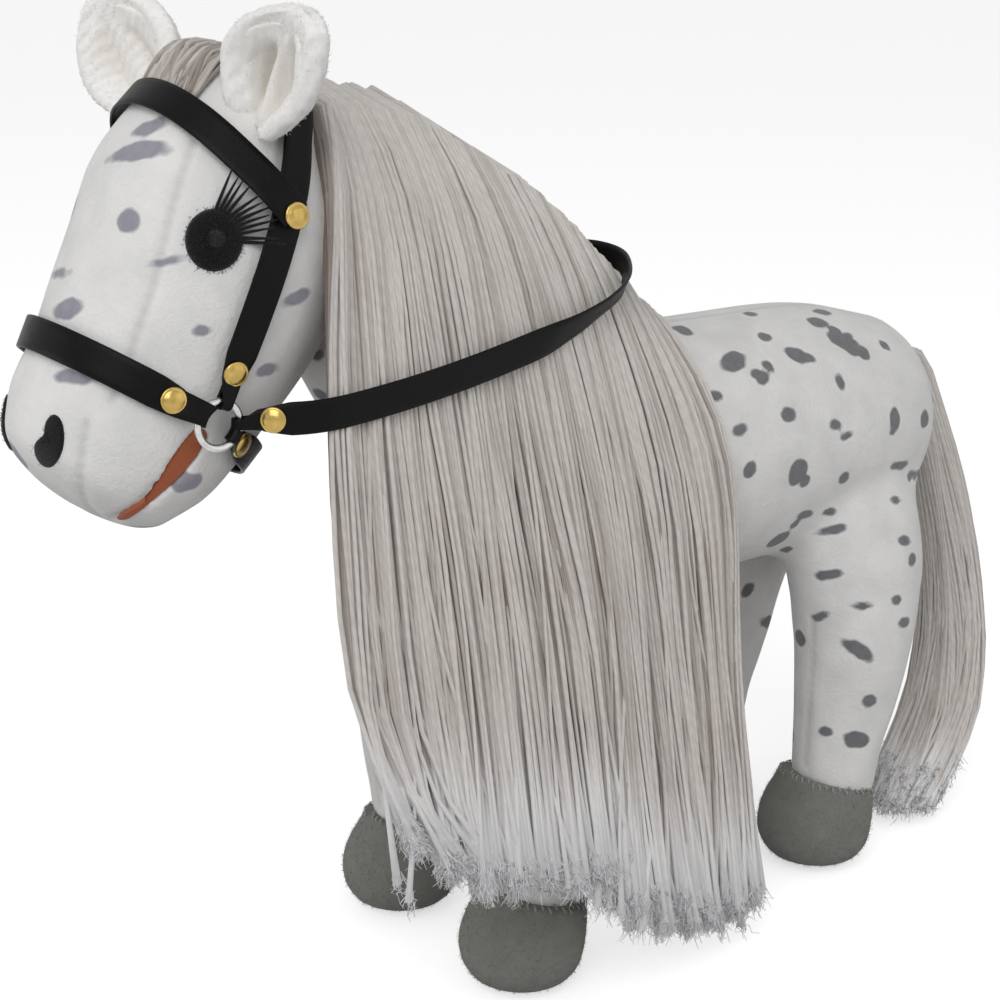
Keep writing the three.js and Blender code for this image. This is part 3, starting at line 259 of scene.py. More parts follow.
# Each skin's squares, how far it starts inside the solids and how far the stuffing may press it
body_square, body_ease, body_press = 4 * mm, 2 * mm, 3.4 * mm
head_square, head_ease, head_press, head_frames = 3 * mm, 1.2 * mm, 1.3 * mm, 12
crease_x, crease_side, crease_z, crease_reach = 148, 36, 160, 46 * mm
thigh_front, thigh_middle, thigh_half, thigh_fuller = 96, 122 * mm, 44 * mm, 4.5 * mm
leg_end, leg_longer = 52 * mm, 0.6

legs = ["leg_front_left", "leg_front_right", "leg_hind_left", "leg_hind_right"]
body = drawn_over("body_skin", ["torso", "neck", *legs], body_square, body_ease)
drawn_smooth(body, [at(crease_x, side * crease_side, crease_z) for side in (-1, 1)], crease_reach, 30)
points, normals = points_of(body), normals_of(body)
fuller = np.exp(-(((points[:, 2] - thigh_middle) / thigh_half) ** 2)) * np.clip(normals[:, 0], 0, 1)
points[:, 0] += thigh_fuller * fuller * (points[:, 0] > at(thigh_front, 0, 0).x)
points[:, 2] -= np.maximum(0, leg_end - points[:, 2]) * leg_longer
set_points(body, points)
stuffed(body, body_press)
finish_with(body, "SUBSURF", levels=1, render_levels=1)

head = drawn_over("head_skin", ["head", "lower_jaw", "mouth_lining"], head_square, head_ease)
stuffed(head, head_press, head_frames)

# The mouth. The muzzle is slit from side to side and the slit lined with terracotta felt. It gapes
# at the corners and closes towards the lips.
head_slope, head_long, head_high = 229.5, 158, 100
head_zero = at(-215, 0, 243.5)
head_along = slope(head_slope)
head_rise = slope(head_slope - 90)


def on_head(along, rise, side=0):
    """A place by the head's own axes: towards the nose, towards the face, to the right."""
    return head_zero + head_along * along * mm + head_rise * rise * mm + Vector((0, side * mm, 0))


# The slit's upper and lower edge, by the head's axes, from its inner end to past the lips
mouth_edge = [(-3, -6), (-1.5, -2.8), (6, -1.8), (14, -2.4), (21, -4.6), (30, -6.2), (60, -6.4)]
mouth_under = [(60, -7.6), (30, -7.8), (21, -8.6), (14, -9.6), (6, -10.2), (-1.5, -9.2)]
outline = mouth_edge + mouth_under
slit_half = 60
slit_points = [on_head(along, rise, side) for side in (-slit_half, slit_half) for along, rise in outline]


def new_piece(name, points, faces):
    mesh = bpy.data.meshes.new(name)
    mesh.from_pydata([tuple(point) for point in points], [], faces)
    mesh.update()
    return placed(name, mesh)


def outwards(piece):
    """Every face of a closed mesh turned out."""
    only(piece)
    bpy.ops.object.mode_set(mode="EDIT")
    bpy.ops.mesh.select_all(action="SELECT")
    bpy.ops.mesh.remove_doubles(threshold=0.001 * mm)
    bpy.ops.mesh.normals_make_consistent(inside=False)
    bpy.ops.object.mode_set(mode="OBJECT")


def walls(rings, around, first=0):
    """The faces between rings of corners that follow each other."""
    faces = []
    for low in range(first, first + rings * around, around):
        for corner in range(around):
            after = (corner + 1) % around
            faces.append([low + corner, low + after, low + around + after, low + around + corner])
    return faces


def rod(name, corners, around):
    """A closed piece from rings of corners, with a flat face at each end."""
    count = len(corners)
    ends = [list(range(around))[::-1], list(range(count - around, count))]
    made = new_piece(name, corners, walls(count // around - 1, around) + ends)
    outwards(made)
    return made


slit = rod("slit", slit_points, len(outline))
tongue = new_piece("mouth_felt", points_of(head), faces_of(head))
set_points(tongue, points_of(tongue) - normals_of(tongue) * 0.9 * mm)
finish_with(tongue, "BOOLEAN", operation="INTERSECT", object=slit, solver="EXACT")
finish_with(tongue, "REMESH", mode="VOXEL", voxel_size=1.0 * mm, use_smooth_shade=True)
finish_with(head, "BOOLEAN", operation="DIFFERENCE", object=slit, solver="EXACT")
finish_with(head, "REMESH", mode="VOXEL", voxel_size=1.3 * mm, use_smooth_shade=True)
finish_with(head, "SMOOTH", factor=0.5, iterations=4)
bpy.data.objects.remove(slit)

# Seams. The face has a gusset down its front and a dart at each side of the muzzle; the body is
# closed along the back, under the belly and down the front and back of each leg.
leg_ahead, leg_shift, leg_side, clear_of_leg = 82, 8, 40, 90
inside_across = 330
head_faces = surface_of(head)
body_faces = surface_of(body)


def seen(faces, across, down):
    """The place of the picture on these faces, or the next one inside their outline."""
    for inwards in range(40):
        share = inwards / 250
        hit = faces.ray_cast(camera_place, sight(across + (inside_across - across) * share, down))[0]
        if hit:
            return hit


def other_side(point):
    return Vector((point.x, 2 * middle_y - point.y, point.z))


def evenly(points, step):
    """A chain of places with more places between them."""
    chain = [points[0]]
    for start, end in zip(points[:-1], points[1:]):
        pieces = max(1, round((end - start).length / step))
        chain += [start.lerp(end, (index + 1) / pieces) for index in range(pieces)]
    return chain


def laid_on(faces, points, step=4 * mm):
    return [faces.find_nearest(point)[0] for point in evenly(points, step)]


gusset = [seen(head_faces, *place) for place in ((193, 142), (172, 208), (152, 290), (138, 330), (112, 400))]
dart = [seen(head_faces, *place) for place in ((86, 425), (80, 468), (96, 518))]
lips = [seen(head_faces, *place) for place in ((154, 487), (142, 500), (131, 508), (117, 516), (110, 520))]
face_seams = []
for line in (gusset, dart, lips):
    laid = laid_on(head_faces, line)
    face_seams += [laid, [other_side(point) for point in laid]]
sewn_in(head, face_seams, 0.9 * mm, 2.0 * mm)

back_seam = [body_faces.ray_cast(at(x, 0, 500), Vector((0, 0, -1)))[0] for x in range(20, 158, 6)]
belly_seams = [
    [body_faces.ray_cast(at(x, side * 20, 60), Vector((0, 0, 1)))[0] for x in range(-40, 50, 6)]
    for side in (-1, 1)
]
leg_seams = []
for end in (-1, 1):
    for side in (-1, 1):
        for ahead in (-1, 1):
            line = []
            for z in range(46, 118, 6):
                start = at(end * leg_ahead + leg_shift + ahead * clear_of_leg, side * leg_side, z)
                hit = body_faces.ray_cast(start, Vector((-ahead, 0, 0)), clear_of_leg * mm)[0]
                if hit:
                    line.append(hit)
            if len(line) > 2:
                leg_seams.append(line)
sewn_in(body, [back_seam, *belly_seams, *leg_seams], 0.9 * mm, 2.2 * mm)
finish_with(body, "SMOOTH", factor=0.3, iterations=1)


# The cloth of the skin is white, with dark grey marks printed on it that have soft uneven edges.
class Wire:
    """A number that one shader node hands to the next, so that sums are written as sums."""

    def __init__(self, look, socket):
        self.look, self.socket = look, socket

    def sum(self, operation, left, right=None):
        inputs = {0: left} if right is None else {0: left, 1: right}
        return self.look.node("ShaderNodeMath", {"operation": operation}, inputs)

    def __add__(self, other):
        return self.sum("ADD", self, other)

    def __sub__(self, other):
        return self.sum("SUBTRACT", self, other)

    def __rsub__(self, other):
        return self.sum("SUBTRACT", other, self)

    def __mul__(self, other):
        return self.sum("MULTIPLY", self, other)

    def at_most(self, other):
        return self.sum("MINIMUM", self, other)

    def at_least(self, other):
        return self.sum("MAXIMUM", self, other)

    def wave(self):
        return self.sum("SINE", self)

    def clear(self):
        """Held between 0 and 1."""
        return self.at_least(0).at_most(1)

    __radd__, __rmul__ = __add__, __mul__


class Look:
    """A material of the horse. What never changes over a surface is set on the shader itself."""

    def __init__(self, name, **fixed):
        self.material = bpy.data.materials.new(name)
        self.material.use_nodes = True
        self.tree = self.material.node_tree
        self.shader = self.tree.nodes["Principled BSDF"]
        self.feed(**fixed)
        self.place = self.node("ShaderNodeTexCoord", output="Object")

    def plug(self, socket, value):
        if isinstance(value, Wire):
            self.tree.links.new(value.socket, socket)
        else:
            socket.default_value = value

    def node(self, kind, settings={}, inputs={}, output=0):
        made = self.tree.nodes.new(kind)
        for name, value in settings.items():
            setattr(made, name, value)
        for socket, value in inputs.items():
            self.plug(made.inputs[socket], value)
        return Wire(self, made.outputs[output])

    def noise(self, size, detail=2, rough=0.5, warp=0):
        """Uneven patches of a size in metres."""
        return self.node("ShaderNodeTexNoise", {}, {
            "Vector": self.place, "Scale": 1 / size, "Detail": detail, "Roughness": rough, "Distortion": warp,
        })

    def mix(self, share, first, second):
        return self.node("ShaderNodeMix", {"data_type": "RGBA"}, {0: share, 6: first, 7: second}, 2)

    def told(self, attribute):
        return self.node("ShaderNodeAttribute", {"attribute_name": attribute}, output="Fac")

    def feed(self, **sockets):
        for socket, value in sockets.items():
            self.plug(self.shader.inputs[socket.replace("_", " ").title().replace("Ior", "IOR")], value)

    def bumps(self, height, deep):
        """The surface stands up by a height between 0 and 1 times a depth in metres."""
        return self.node("ShaderNodeBump", {}, {"Height": height, "Distance": deep, "Strength": 1})


def shade(red, green, blue):
    """A colour as it shows on a screen, from 0 to 255, as shaders count it."""
    def linear(value):
        value /= 255
        return value / 12.92 if value <= 0.04045 else ((value + 0.055) / 1.055) ** 2.4
    return (linear(red), linear(green), linear(blue), 1)


def pile_cloth(name, white, hollow, mark=None, worn=None, trough_shade=None, deep=0.5 * mm):
    """White cloth with a short brushed pile that parts here and there, and marks where they are told; seams
    and told troughs get painted shade.
    """
    look = Look(name, roughness=0.95, sheen_weight=0.25, sheen_roughness=0.6, specular_ior_level=0.15)
    cloudy = look.noise(17 * mm, 3)
    pile = look.noise(1.3 * mm, 3, rough=0.65)
    fine = look.noise(0.45 * mm, 2, rough=0.7)
    brushed = look.noise(5 * mm, 2, warp=1.5)
    cloth = look.mix((cloudy - 0.35).clear() * 1.6, white, hollow)
    cloth = look.mix((fine - 0.35).clear() * 0.5, cloth, hollow)
    # Painted shade in an ear's troughs: the cloth turns darker and warmer as deep as the trough is told to be
    if trough_shade:
        cloth = look.mix((look.told("hollow") * 0.8).clear(), cloth, trough_shade)
    if mark:
        # Painted shade of the seam grooves: grey along each seam, as deep as it is pulled in
        cloth = look.mix((look.told("seam") - 0.3).clear() * 0.38, cloth, shade(150, 149, 150))
        ragged = (look.noise(7 * mm, 1) - 0.5) * 3.0 + (pile - 0.5) * 0.3
        inside = (ragged - look.told("mark_edge") + 0.55).clear()
        cloth = look.mix(inside * 0.94, cloth, look.mix(look.noise(3 * mm, 2), mark, worn))
    look.feed(base_color=cloth, normal=look.bumps(pile * 0.55 + fine * 0.25 + brushed * 0.6, deep))
    return look.material


body_cloth = pile_cloth("white_pile_cloth", shade(238, 237, 235), shade(214, 213, 213),
                        shade(86, 86, 91), shade(118, 118, 124))
face_cloth = pile_cloth("white_face_cloth", shade(240, 239, 237), shade(216, 215, 216),
                        shade(134, 131, 145), shade(158, 155, 167))

# Marks seen in the photograph: place in it, width, height and tilt in degrees against the clock
marks_seen = [
    (138, 151, 62, 18, 8), (150, 127, 40, 14, 20), (127, 221, 24, 26, 0), (59, 273, 16, 10, 10),
    (67, 308, 34, 20, 8), (165, 262, 32, 11, 15), (202, 330, 18, 8, 5), (75, 377, 40, 14, -8),
    (297, 298, 26, 14, 20), (268, 370, 22, 12, 10), (318, 355, 16, 12, 20), (320, 395, 12, 12, 0),
    (188, 483, 30, 18, 8), (16, 456, 14, 42, 0), (734, 361, 24, 20, 30), (683, 330, 16, 10, 0),
    (758, 375, 14, 11, 0), (765, 337, 12, 9, 0), (797, 355, 28, 13, -20), (845, 342, 40, 20, -25),
    (818, 322, 18, 10, 0), (840, 382, 10, 17, 0), (788, 415, 15, 15, 0), (836, 425, 12, 10, 0),
    (847, 436, 12, 8, 20), (895, 420, 10, 26, 10), (925, 420, 8, 18, 0), (798, 472, 17, 31, -15),
    (844, 478, 9, 11, 0), (900, 465, 18, 8, 0), (920, 473, 16, 8, 0), (896, 500, 12, 9, 0),
    (829, 512, 13, 9, 0), (805, 515, 15, 8, 10), (832, 530, 30, 9, 12), (778, 540, 26, 14, 35),
    (904, 540, 12, 9, 0), (830, 575, 29, 10, 5), (862, 606, 20, 8, 0), (820, 617, 18, 10, 10),
    (897, 600, 9, 11, 0), (905, 622, 10, 13, 0), (800, 638, 10, 17, 0), (858, 650, 36, 15, -32),
    (870, 701, 13, 13, 0), (825, 732, 14, 9, 0), (856, 740, 26, 18, -10), (748, 590, 12, 14, 0),
    (768, 622, 10, 12, 0), (750, 470, 14, 18, 0), (740, 430, 18, 12, 20), (716, 395, 16, 12, 0),
    (762, 378, 15, 14, 45), (768, 366, 11, 12, 0), (852, 350, 16, 12, -60), (862, 352, 18, 10, -35),
    (808, 358, 12, 10, 0), (835, 330, 16, 7, -20), (822, 312, 16, 6, 0), (751, 314, 16, 5, 0),
    (848, 336, 10, 7, 0), (884, 345, 12, 6, -30), (805, 481, 9, 12, 0), (893, 431, 8, 11, 0),
    (914, 475, 13, 9, 20), (795, 524, 12, 6, 25), (786, 549, 10, 7, 30), (912, 560, 8, 12, 0),
]
mark_longest, mark_thinnest, mark_widest, marks_apart = 11 * mm, 1.6 * mm, 5.5 * mm, 17 * mm
whole_skin = surface_of(body, head)
marks = []
for across, down, wide, high, tilt in marks_seen:
    middle = seen(whole_skin, across, down)
    normal = whole_skin.find_nearest(middle)[1]
    lean = math.radians(tilt)
    ends = []
    for half, turn in ((wide / 2, lean), (high / 2, lean + math.pi / 2)):
        ray = sight(across + half * math.cos(turn), down - half * math.sin(turn))
        away = (middle - camera_place).dot(normal) / ray.dot(normal)
        ends.append(camera_place + ray * away - middle)
    long = ends[0].normalized() * min(ends[0].length, mark_longest)
    short = ends[1] - long * ends[1].dot(long) / long.length_squared
    short = short.normalized() * min(max(short.length, mark_thinnest), mark_widest)
    marks.append((middle, long, short))


def hidden_place(middle, normal):
    """Whether the photograph doesn't show a place of the skin."""
    to_camera = (camera_place - middle).normalized()
    return to_camera.dot(normal) < 0.05 or whole_skin.ray_cast(middle + to_camera * 2 * mm, to_camera)[0]


for middle, *ways in list(marks):
    opposite = other_side(middle)
    if hidden_place(opposite, whole_skin.find_nearest(opposite)[1]):
        marks.append((opposite, *(Vector((way.x, -way.y, way.z)) for way in ways)))

# Marks where the photograph shows none, spread over the rest of the skin
chance = np.random.default_rng(7)
for skin, wanted in ((body, 150), (head, 16)):
    points, normals = points_of(skin), normals_of(skin)
    for _ in range(wanted * 4):
        pick = chance.integers(len(points))
        middle, normal = Vector(points[pick]), Vector(normals[pick])
        long, short, turn = chance.uniform(3, 7), chance.uniform(2, 4), chance.uniform(0, math.pi)
        if not hidden_place(middle, normal) or min((middle - mark[0]).length for mark in marks) < marks_apart:
            continue
        flat = normal.orthogonal().normalized()
        other = normal.cross(flat)
        along = flat * math.cos(turn) + other * math.sin(turn)
        marks.append((middle, along * long * mm, normal.cross(along) * short * mm))


def print_marks(piece):
    """Tells each point how far outside the nearest mark it is, in millimetres."""
    far, reached = 9.0, 30 * mm
    points = points_of(piece)
    edge = np.full(len(points), far)
    for middle, long, short in marks:
        away = points - np.array(middle)
        near = np.linalg.norm(away, axis=1) < reached
        part = away[near]
        u = part @ np.array(long) / long.length_squared
        v = part @ np.array(short) / short.length_squared
        rest = np.linalg.norm(part - u[:, None] * np.array(long) - v[:, None] * np.array(short), axis=1)
        reach = np.sqrt(u ** 2 + v ** 2 + (rest / (12 * mm)) ** 2)
        edge[near] = np.minimum(edge[near], (reach - 1) * min(long.length, short.length) / mm)
    tell(piece, "mark_edge", edge)


def settle(piece, look, slot, body_name, *replaced):
    """A finished piece gets its material and its place among the moving parts."""
    piece.data.materials.clear()
    piece.data.materials.append(look)
    for face in piece.data.polygons:
        face.use_smooth = True
    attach(piece, body_name)
    if replaced:
        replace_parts(piece, *replaced)


for skin, cloth, parts in (
    (body, body_cloth, ["torso", "neck", *legs]),
    (head, face_cloth, ["head", "lower_jaw"]),
):
    print_marks(skin)
    settle(skin, cloth, "white_plush", "horse", *parts)


def felt(name, base, speck, fibre=0.35 * mm, deep=0.25 * mm):
    look = Look(name, roughness=0.98, sheen_weight=0.2, sheen_roughness=0.5, specular_ior_level=0.15)
    hairs = look.noise(fibre, 4, rough=0.7, warp=1.2)
    cloudy = look.noise(9 * mm, 3)
    colour = look.mix((hairs - 0.3).clear() * 0.6 + cloudy * 0.35, base, speck)
    look.feed(base_color=colour, normal=look.bumps(hairs + cloudy * 0.5, deep))
    return look.material


mouth_cloth = felt("terracotta_felt", shade(190, 106, 68), shade(150, 78, 52))
settle(tongue, mouth_cloth, "mouth_felt", "horse", "mouth_lining")


def patch(name, rim, crown):
    """A piece of felt glued on the face, from its outline in the picture."""
    sink, rounds, ring = 0.3 * mm, 9, 48
    rim = np.array(rim, float)
    turns = np.linspace(0, 1, len(rim), endpoint=False)
    around = np.linspace(0, 1, ring, endpoint=False)
    smooth = np.stack([np.interp(around, np.append(turns, 1), np.append(rim[:, axis], rim[0, axis]))
                       for axis in (0, 1)], axis=1)
    for _ in range(3):
        smooth = (np.roll(smooth, 1, axis=0) + 2 * smooth + np.roll(smooth, -1, axis=0)) / 4
    heart = smooth.mean(axis=0)
    tops, bases = [], []
    for step in range(rounds + 1):
        share = 1 - step / rounds
        for place in heart + (smooth - heart) * share:
            hit = seen(head_faces, *place)
            normal = head_faces.find_nearest(hit)[1]
            height = crown * math.sqrt(max(0, 1 - share ** 4))
            tops.append(hit + normal * height - (normal * sink if step == 0 else Vector()))
            bases.append(hit - normal * sink)
    last = len(tops)
    corners = tops + bases[:ring] + [sum(bases[:ring], Vector()) / ring]
    faces = walls(rounds, ring)
    for column in range(ring):
        after = (column + 1) % ring
        faces.append([last + column, last + after, len(corners) - 1])
        faces.append([column, last + column, last + after, after])
    made = new_piece(name, corners, faces)
    outwards(made)
    return made


def mirrored(piece, name):
    """The same piece on the other side of the head."""
    points = points_of(piece)
    points[:, 1] = 2 * middle_y - points[:, 1]
    return new_piece(name, points, [face[::-1] for face in faces_of(piece)])


lip_felt = patch("lip_felt_left", [
    (153, 493), (155, 499), (147, 505), (139, 511), (132, 516), (125, 520), (115, 520), (119, 515),
    (129, 509), (139, 503), (148, 496),
], 0.8 * mm)
for made in (lip_felt, mirrored(lip_felt, "lip_felt_right")):
    settle(made, mouth_cloth, "mouth_felt", "horse")


# Threads. Yarn, lashes and the hairs of the pile are round strands, which are made alike.
def spun(name, paths, thick, strands, tips, sides, aside=(1, 0, 0)):
    """Round yarn along many paths at once: places, half thicknesses, a number for each strand."""
    count, steps = paths.shape[:2]
    thick, tips = (np.broadcast_to(values, (count, steps)) for values in (thick, tips))
    ahead = unit(np.gradient(paths, axis=1))
    first = unit(np.array(aside) - ahead * (ahead @ np.array(aside))[:, :, None])
    second = np.cross(ahead, first)
    turns = 2 * math.pi * np.arange(sides) / sides
    ring = first[:, :, None] * np.cos(turns)[:, None] + second[:, :, None] * np.sin(turns)[:, None]
    corners = paths[:, :, None] + ring * thick[:, :, None, None]
    index = np.arange(count * steps * sides).reshape(count, steps, sides)
    after = np.roll(index, -1, axis=2)
    sides_of = np.stack([index[:, :-1], after[:, :-1], after[:, 1:], index[:, 1:]], axis=-1).reshape(-1, 4)
    faces = sides_of.tolist() + index[:, 0, ::-1].tolist() + index[:, -1].tolist()
    made = new_piece(name, corners.reshape(-1, 3), faces)
    pieces = np.linalg.norm(np.diff(paths, axis=1), axis=2)
    run = np.concatenate([np.zeros((count, 1)), np.cumsum(pieces, axis=1)], axis=1) / mm * 0.1
    run += chance.uniform(0, 5, (count, 1))
    around = np.arange(sides) / sides
    start = np.broadcast_to(around, (count, steps - 1, sides))
    low = np.broadcast_to(run[:, :-1, None], start.shape)
    high = np.broadcast_to(run[:, 1:, None], start.shape)
    quads = np.stack([start, low, start + 1 / sides, low, start + 1 / sides, high, start, high], axis=-1)
    uv = np.zeros((len(made.data.loops), 2), np.float32)
    uv[:quads.size // 2] = quads.reshape(-1, 2)
    made.data.uv_layers.new(name="spun").data.foreach_set("uv", uv.ravel())
    tell(made, "strand", np.repeat(strands, steps * sides))
    tell(made, "tip", np.repeat(tips.ravel(), sides))
    return made


def nap(name, piece, look, slot, hairs, length, thick, spread, lowest=-1):
    """Fine hairs that stand on a piece, above a height."""
    points, normals = points_of(piece), normals_of(piece)
    picks = np.flatnonzero(points[:, 2] > lowest)
    picks = chance.choice(picks, hairs)
    root = points[picks] + chance.normal(0, 0.35 * mm, (hairs, 3))
    root -= normals[picks] * 0.25 * mm
    way = unit(normals[picks] + chance.normal(0, spread, (hairs, 3)))
    reach = length * chance.uniform(0.5, 1.1, (hairs, 1))
    bend = chance.normal(0, 0.22 * length, (hairs, 3))
    paths = np.stack([root, root + way * reach * 0.55, root + way * reach + bend], axis=1)
    made = spun(name, paths, np.array([1, 0.8, 0.25]) * thick, chance.uniform(0, 1, hairs), 1, 3)
    # Hairs keep their leaf's trough depth, which their cloth turns into painted shade
    if "hollow" in piece.data.attributes:
        depth = np.zeros(len(points), np.float32)
        piece.data.attributes["hollow"].data.foreach_get("value", depth)
        tell(made, "hollow", np.repeat(depth[picks], 9))
    settle(made, look, slot, "horse")


# Ears. Each is a cupped leaf of deep soft pile with a rolled edge, and a second leaf is sewn into its
# hollow, which the stuffing folds into two troughs, darkened in the cloth with painted shade.
# The colour of the troughs' painted shade, and how deep the pile's bumps are
ear_look = {"trough_shade": shade(214, 206, 194), "deep": 0.22 * mm}
ear_pile = pile_cloth("ear_pile", shade(254, 253, 251), shade(248, 246, 243), **ear_look)
ear_hollow = pile_cloth("ear_hollow_pile", shade(253, 251, 247), shade(244, 240, 235), **ear_look)
leaf_heights = [0, 0.08, 0.16, 0.29, 0.42, 0.55, 0.68, 0.81, 0.91, 0.97, 1]
leaf_widths = [0.46, 0.56, 0.69, 0.89, 1, 0.99, 0.89, 0.69, 0.48, 0.29, 0.05]
ear_long, ear_cup, ear_apart = 47, 12, 33


def ear_leaf(name, size, thick, forward, roll, fold, lean, taller, wide, place):
    """A leaf of the ear, in millimetres: its troughs' depth is fold, its tip's way sideways is lean."""
    steps, columns = 22, 20
    width, length = wide * size, (ear_long + taller) * size

    def trough(across, height):
        side, high = across * size, height * size
        deep = 0
        for middle, top in ((-0.36, 0.80), (0.24, 0.66)):
            lengthwise = max(0, math.sin(math.pi * min(1, high / top))) ** 0.7
            deep += math.exp(-((side - middle) / 0.13) ** 2) * lengthwise
        return deep

    def skin(height, across, face):
        half = width / 2 * np.interp(height, leaf_heights, leaf_widths)
        side, high = across * size, height * size
        depth = ear_cup * (1 - 0.55 * high) * math.sin(math.pi * min(1, 0.3 + 0.62 * high))
        out = Vector((-2 * depth * side / half, 1, 0)).normalized()
        edge = math.sqrt(max(0, 1 - (2 * height - 1) ** 6)) * math.sqrt(max(0, 1 - across ** 4))
        rim = math.exp(-((1 - abs(across)) / 0.24) ** 2) + 0.7 * math.exp(-((1 - height) / 0.16) ** 2)
        rise = face * thick / 2 * edge
        if face > 0:
            rise += roll * min(1, rim) * edge
        if face > 0 or size < 1:
            rise -= fold * trough(across, height) * edge
        return Vector((half * across - lean * (high ** 2 - 0.12), forward - depth * (1 - side ** 2),
                       length * height)) + out * rise

    corners, hollows = [skin(0.02, 0, 0)], [0]
    for step in range(steps + 1):
        height = 0.03 + 0.95 * step / steps
        corners += [skin(height, 1 - 2 * column / columns, 1) for column in range(columns)]
        corners += [skin(height, 2 * column / columns - 1, -1) for column in range(columns)]
        hollows += [trough(1 - 2 * column / columns, height) for column in range(columns)] + [0] * columns
    corners.append(skin(0.985, 0, 0))
    hollows.append(0)
    ring, last = 2 * columns, len(corners) - 1
    faces = []
    for column in range(ring):
        after = (column + 1) % ring
        faces.append([0, 1 + after, 1 + column])
        for step in range(steps):
            near = 1 + ring * step
            faces.append([near + column, near + after, near + ring + after, near + ring + column])
        faces.append([last, last - ring + column, last - ring + after])
    ear = new_piece(name, [place @ (corner * mm) for corner in corners], faces)
    tell(ear, "hollow", np.array(hollows) * fold / 10)
    outwards(ear)
    finish_with(ear, "SMOOTH", factor=0.5, iterations=1)
    finish_with(ear, "SUBSURF", levels=2, render_levels=2)
    points, normals = points_of(ear), normals_of(ear)
    soft = np.sin(points @ np.array([820, 640, 710])) * np.sin(points @ np.array([-560, 910, 480]))
    set_points(ear, points + normals * (0.3 * mm * soft)[:, None])
    return ear


ear_root = on_head(-85, 38)
for hand, side, turn in (("left", -1, 0.15), ("right", 1, -0.35)):
    up = Vector((0.03, side * 0.5, 1)).normalized()
    facing = Vector((-1, side * turn, 0))
    facing = (facing - up * facing.dot(up)).normalized()
    across = facing.cross(up) * -side
    place = Matrix.Translation((ear_root.x, middle_y + side * ear_apart * mm, ear_root.z))
    place @= Matrix((across, facing, up)).transposed().to_4x4()
    fold, lean, taller, wide = (9.5, 16, 3.5, 43) if hand == "left" else (4, 4, 0, 48)
    shell = ear_leaf(f"ear_{hand}_cloth", 1, 8.4, 0, 3.6, fold, lean, taller, wide, place)
    settle(shell, ear_pile, "ear_plush", "horse", f"ear_{hand}")
    lining = ear_leaf(f"ear_{hand}_lining", 0.84, 4.4, 2.9, 0, fold, lean, taller, wide, place)
    settle(lining, ear_hollow, "ear_plush", "horse", f"ear_lining_{hand}")
    for leaf, look, hairs in ((shell, ear_pile, 6000), (lining, ear_hollow, 3000)):
        nap(f"{leaf.name}_pile", leaf, look, "ear_plush", hairs, 0.8 * mm, 0.08 * mm, 0.9)

# Hooves. Four dark grey balls of brushed cloth, flat where they stand, with the leg's cloth sewn
# into their tilted upper edge by a row of whip stitches.
hoof_cloth = felt("grey_brushed_cloth", shade(119, 120, 115), shade(158, 158, 151), 0.6 * mm, 0.5 * mm)
thread = Look("grey_thread", roughness=0.8)
thread.feed(base_color=thread.mix(thread.noise(0.4 * mm), shade(120, 120, 115), shade(176, 174, 168)))
stitch_count, edge_high, edge_low, clear_of_hoof = 46, 46, 18, 60 * mm
# A stitch from the leg down to the hoof: rise, outwards, aside and half thickness in millimetres
stitch_run = [(1.5, -0.9, 0, 0.35), (0.6, 0.5, 0.4, 0.5), (-1.8, 0.35, 0.9, 0.3)]
for pair, end in (("front", -1), ("hind", 1)):
    for hand, side in (("left", -1), ("right", 1)):
        name = f"hoof_{pair}_{hand}"
        hoof = drawn_over(f"{name}_cloth", [name], 2 * mm, 0.4 * mm)
        finish_with(hoof, "SMOOTH", factor=0.5, iterations=3)
        floor_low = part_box(name)[0].z
        points = points_of(hoof)
        points[:, 2] = np.maximum(points[:, 2], floor_low + 0.1 * mm)
        set_points(hoof, points)
        finish_with(hoof, "SUBSURF", levels=1, render_levels=1)
        hoof_faces = surface_of(hoof)
        settle(hoof, hoof_cloth, "hoof_felt", "horse", name)
        nap(f"{name}_nap", hoof, hoof_cloth, "hoof_felt", 5000, 0.9 * mm, 0.09 * mm, 0.7,
            lowest=floor_low + 2.5 * mm)

        ankle = at(end * leg_ahead + leg_shift, side * leg_side, 0)
        corners, faces = [], []
        for step in range(stitch_count):
            turn = 2 * math.pi * step / stitch_count
            way = Vector((math.cos(turn), math.sin(turn), 0))
            for height in range(edge_high, edge_low, -1):
                start = ankle + way * clear_of_hoof + Vector((0, 0, height * mm))
                on_hoof = hoof_faces.ray_cast(start, -way)
                on_leg = body_faces.ray_cast(start, -way)
                if on_hoof[0] and (not on_leg[0] or on_hoof[3] < on_leg[3]):
                    break
            if not on_hoof[0] or not on_leg[0]:
                continue
            place, up = on_hoof[0], Vector((0, 0, 1))
            round_way = up.cross(way)
            start = len(corners)
            for rise, out, aside, half in stitch_run:
                middle = place + up * rise * mm + way * out * mm + round_way * aside * mm
                thick = half * mm
                corners += [middle + side_way * thick for side_way in (round_way, way, -round_way, -way)]
            faces += walls(2, 4, start)
            faces += [list(range(start, start + 4))[::-1], list(range(start + 8, start + 12))]
        stitches = new_piece(f"stitches_{pair}_{hand}", corners, faces)
        outwards(stitches)
        settle(stitches, thread.material, "hoof_felt", "horse")

# Eyes, lashes and nostrils. Each eye is a brushed black disc with a smooth black button worked into
# its middle, and a thick fringe of curved lashes stands out of its upper edge.
black_felt = felt("black_felt", shade(10, 10, 11), shade(36, 36, 39), 0.4 * mm, 0.35 * mm)
button = Look("black_button", roughness=0.5, specular_ior_level=0.3)
button.feed(base_color=button.mix(button.noise(1.5 * mm), shade(8, 8, 9), shade(22, 22, 24)),
            normal=button.bumps(button.noise(0.8 * mm, 3), 0.2 * mm))


def disc(across, down, wide, high):
    return [(across + wide / 2 * math.cos(turn), down + high / 2 * math.sin(turn))
            for turn in np.linspace(0, 2 * math.pi, 24, endpoint=False)]


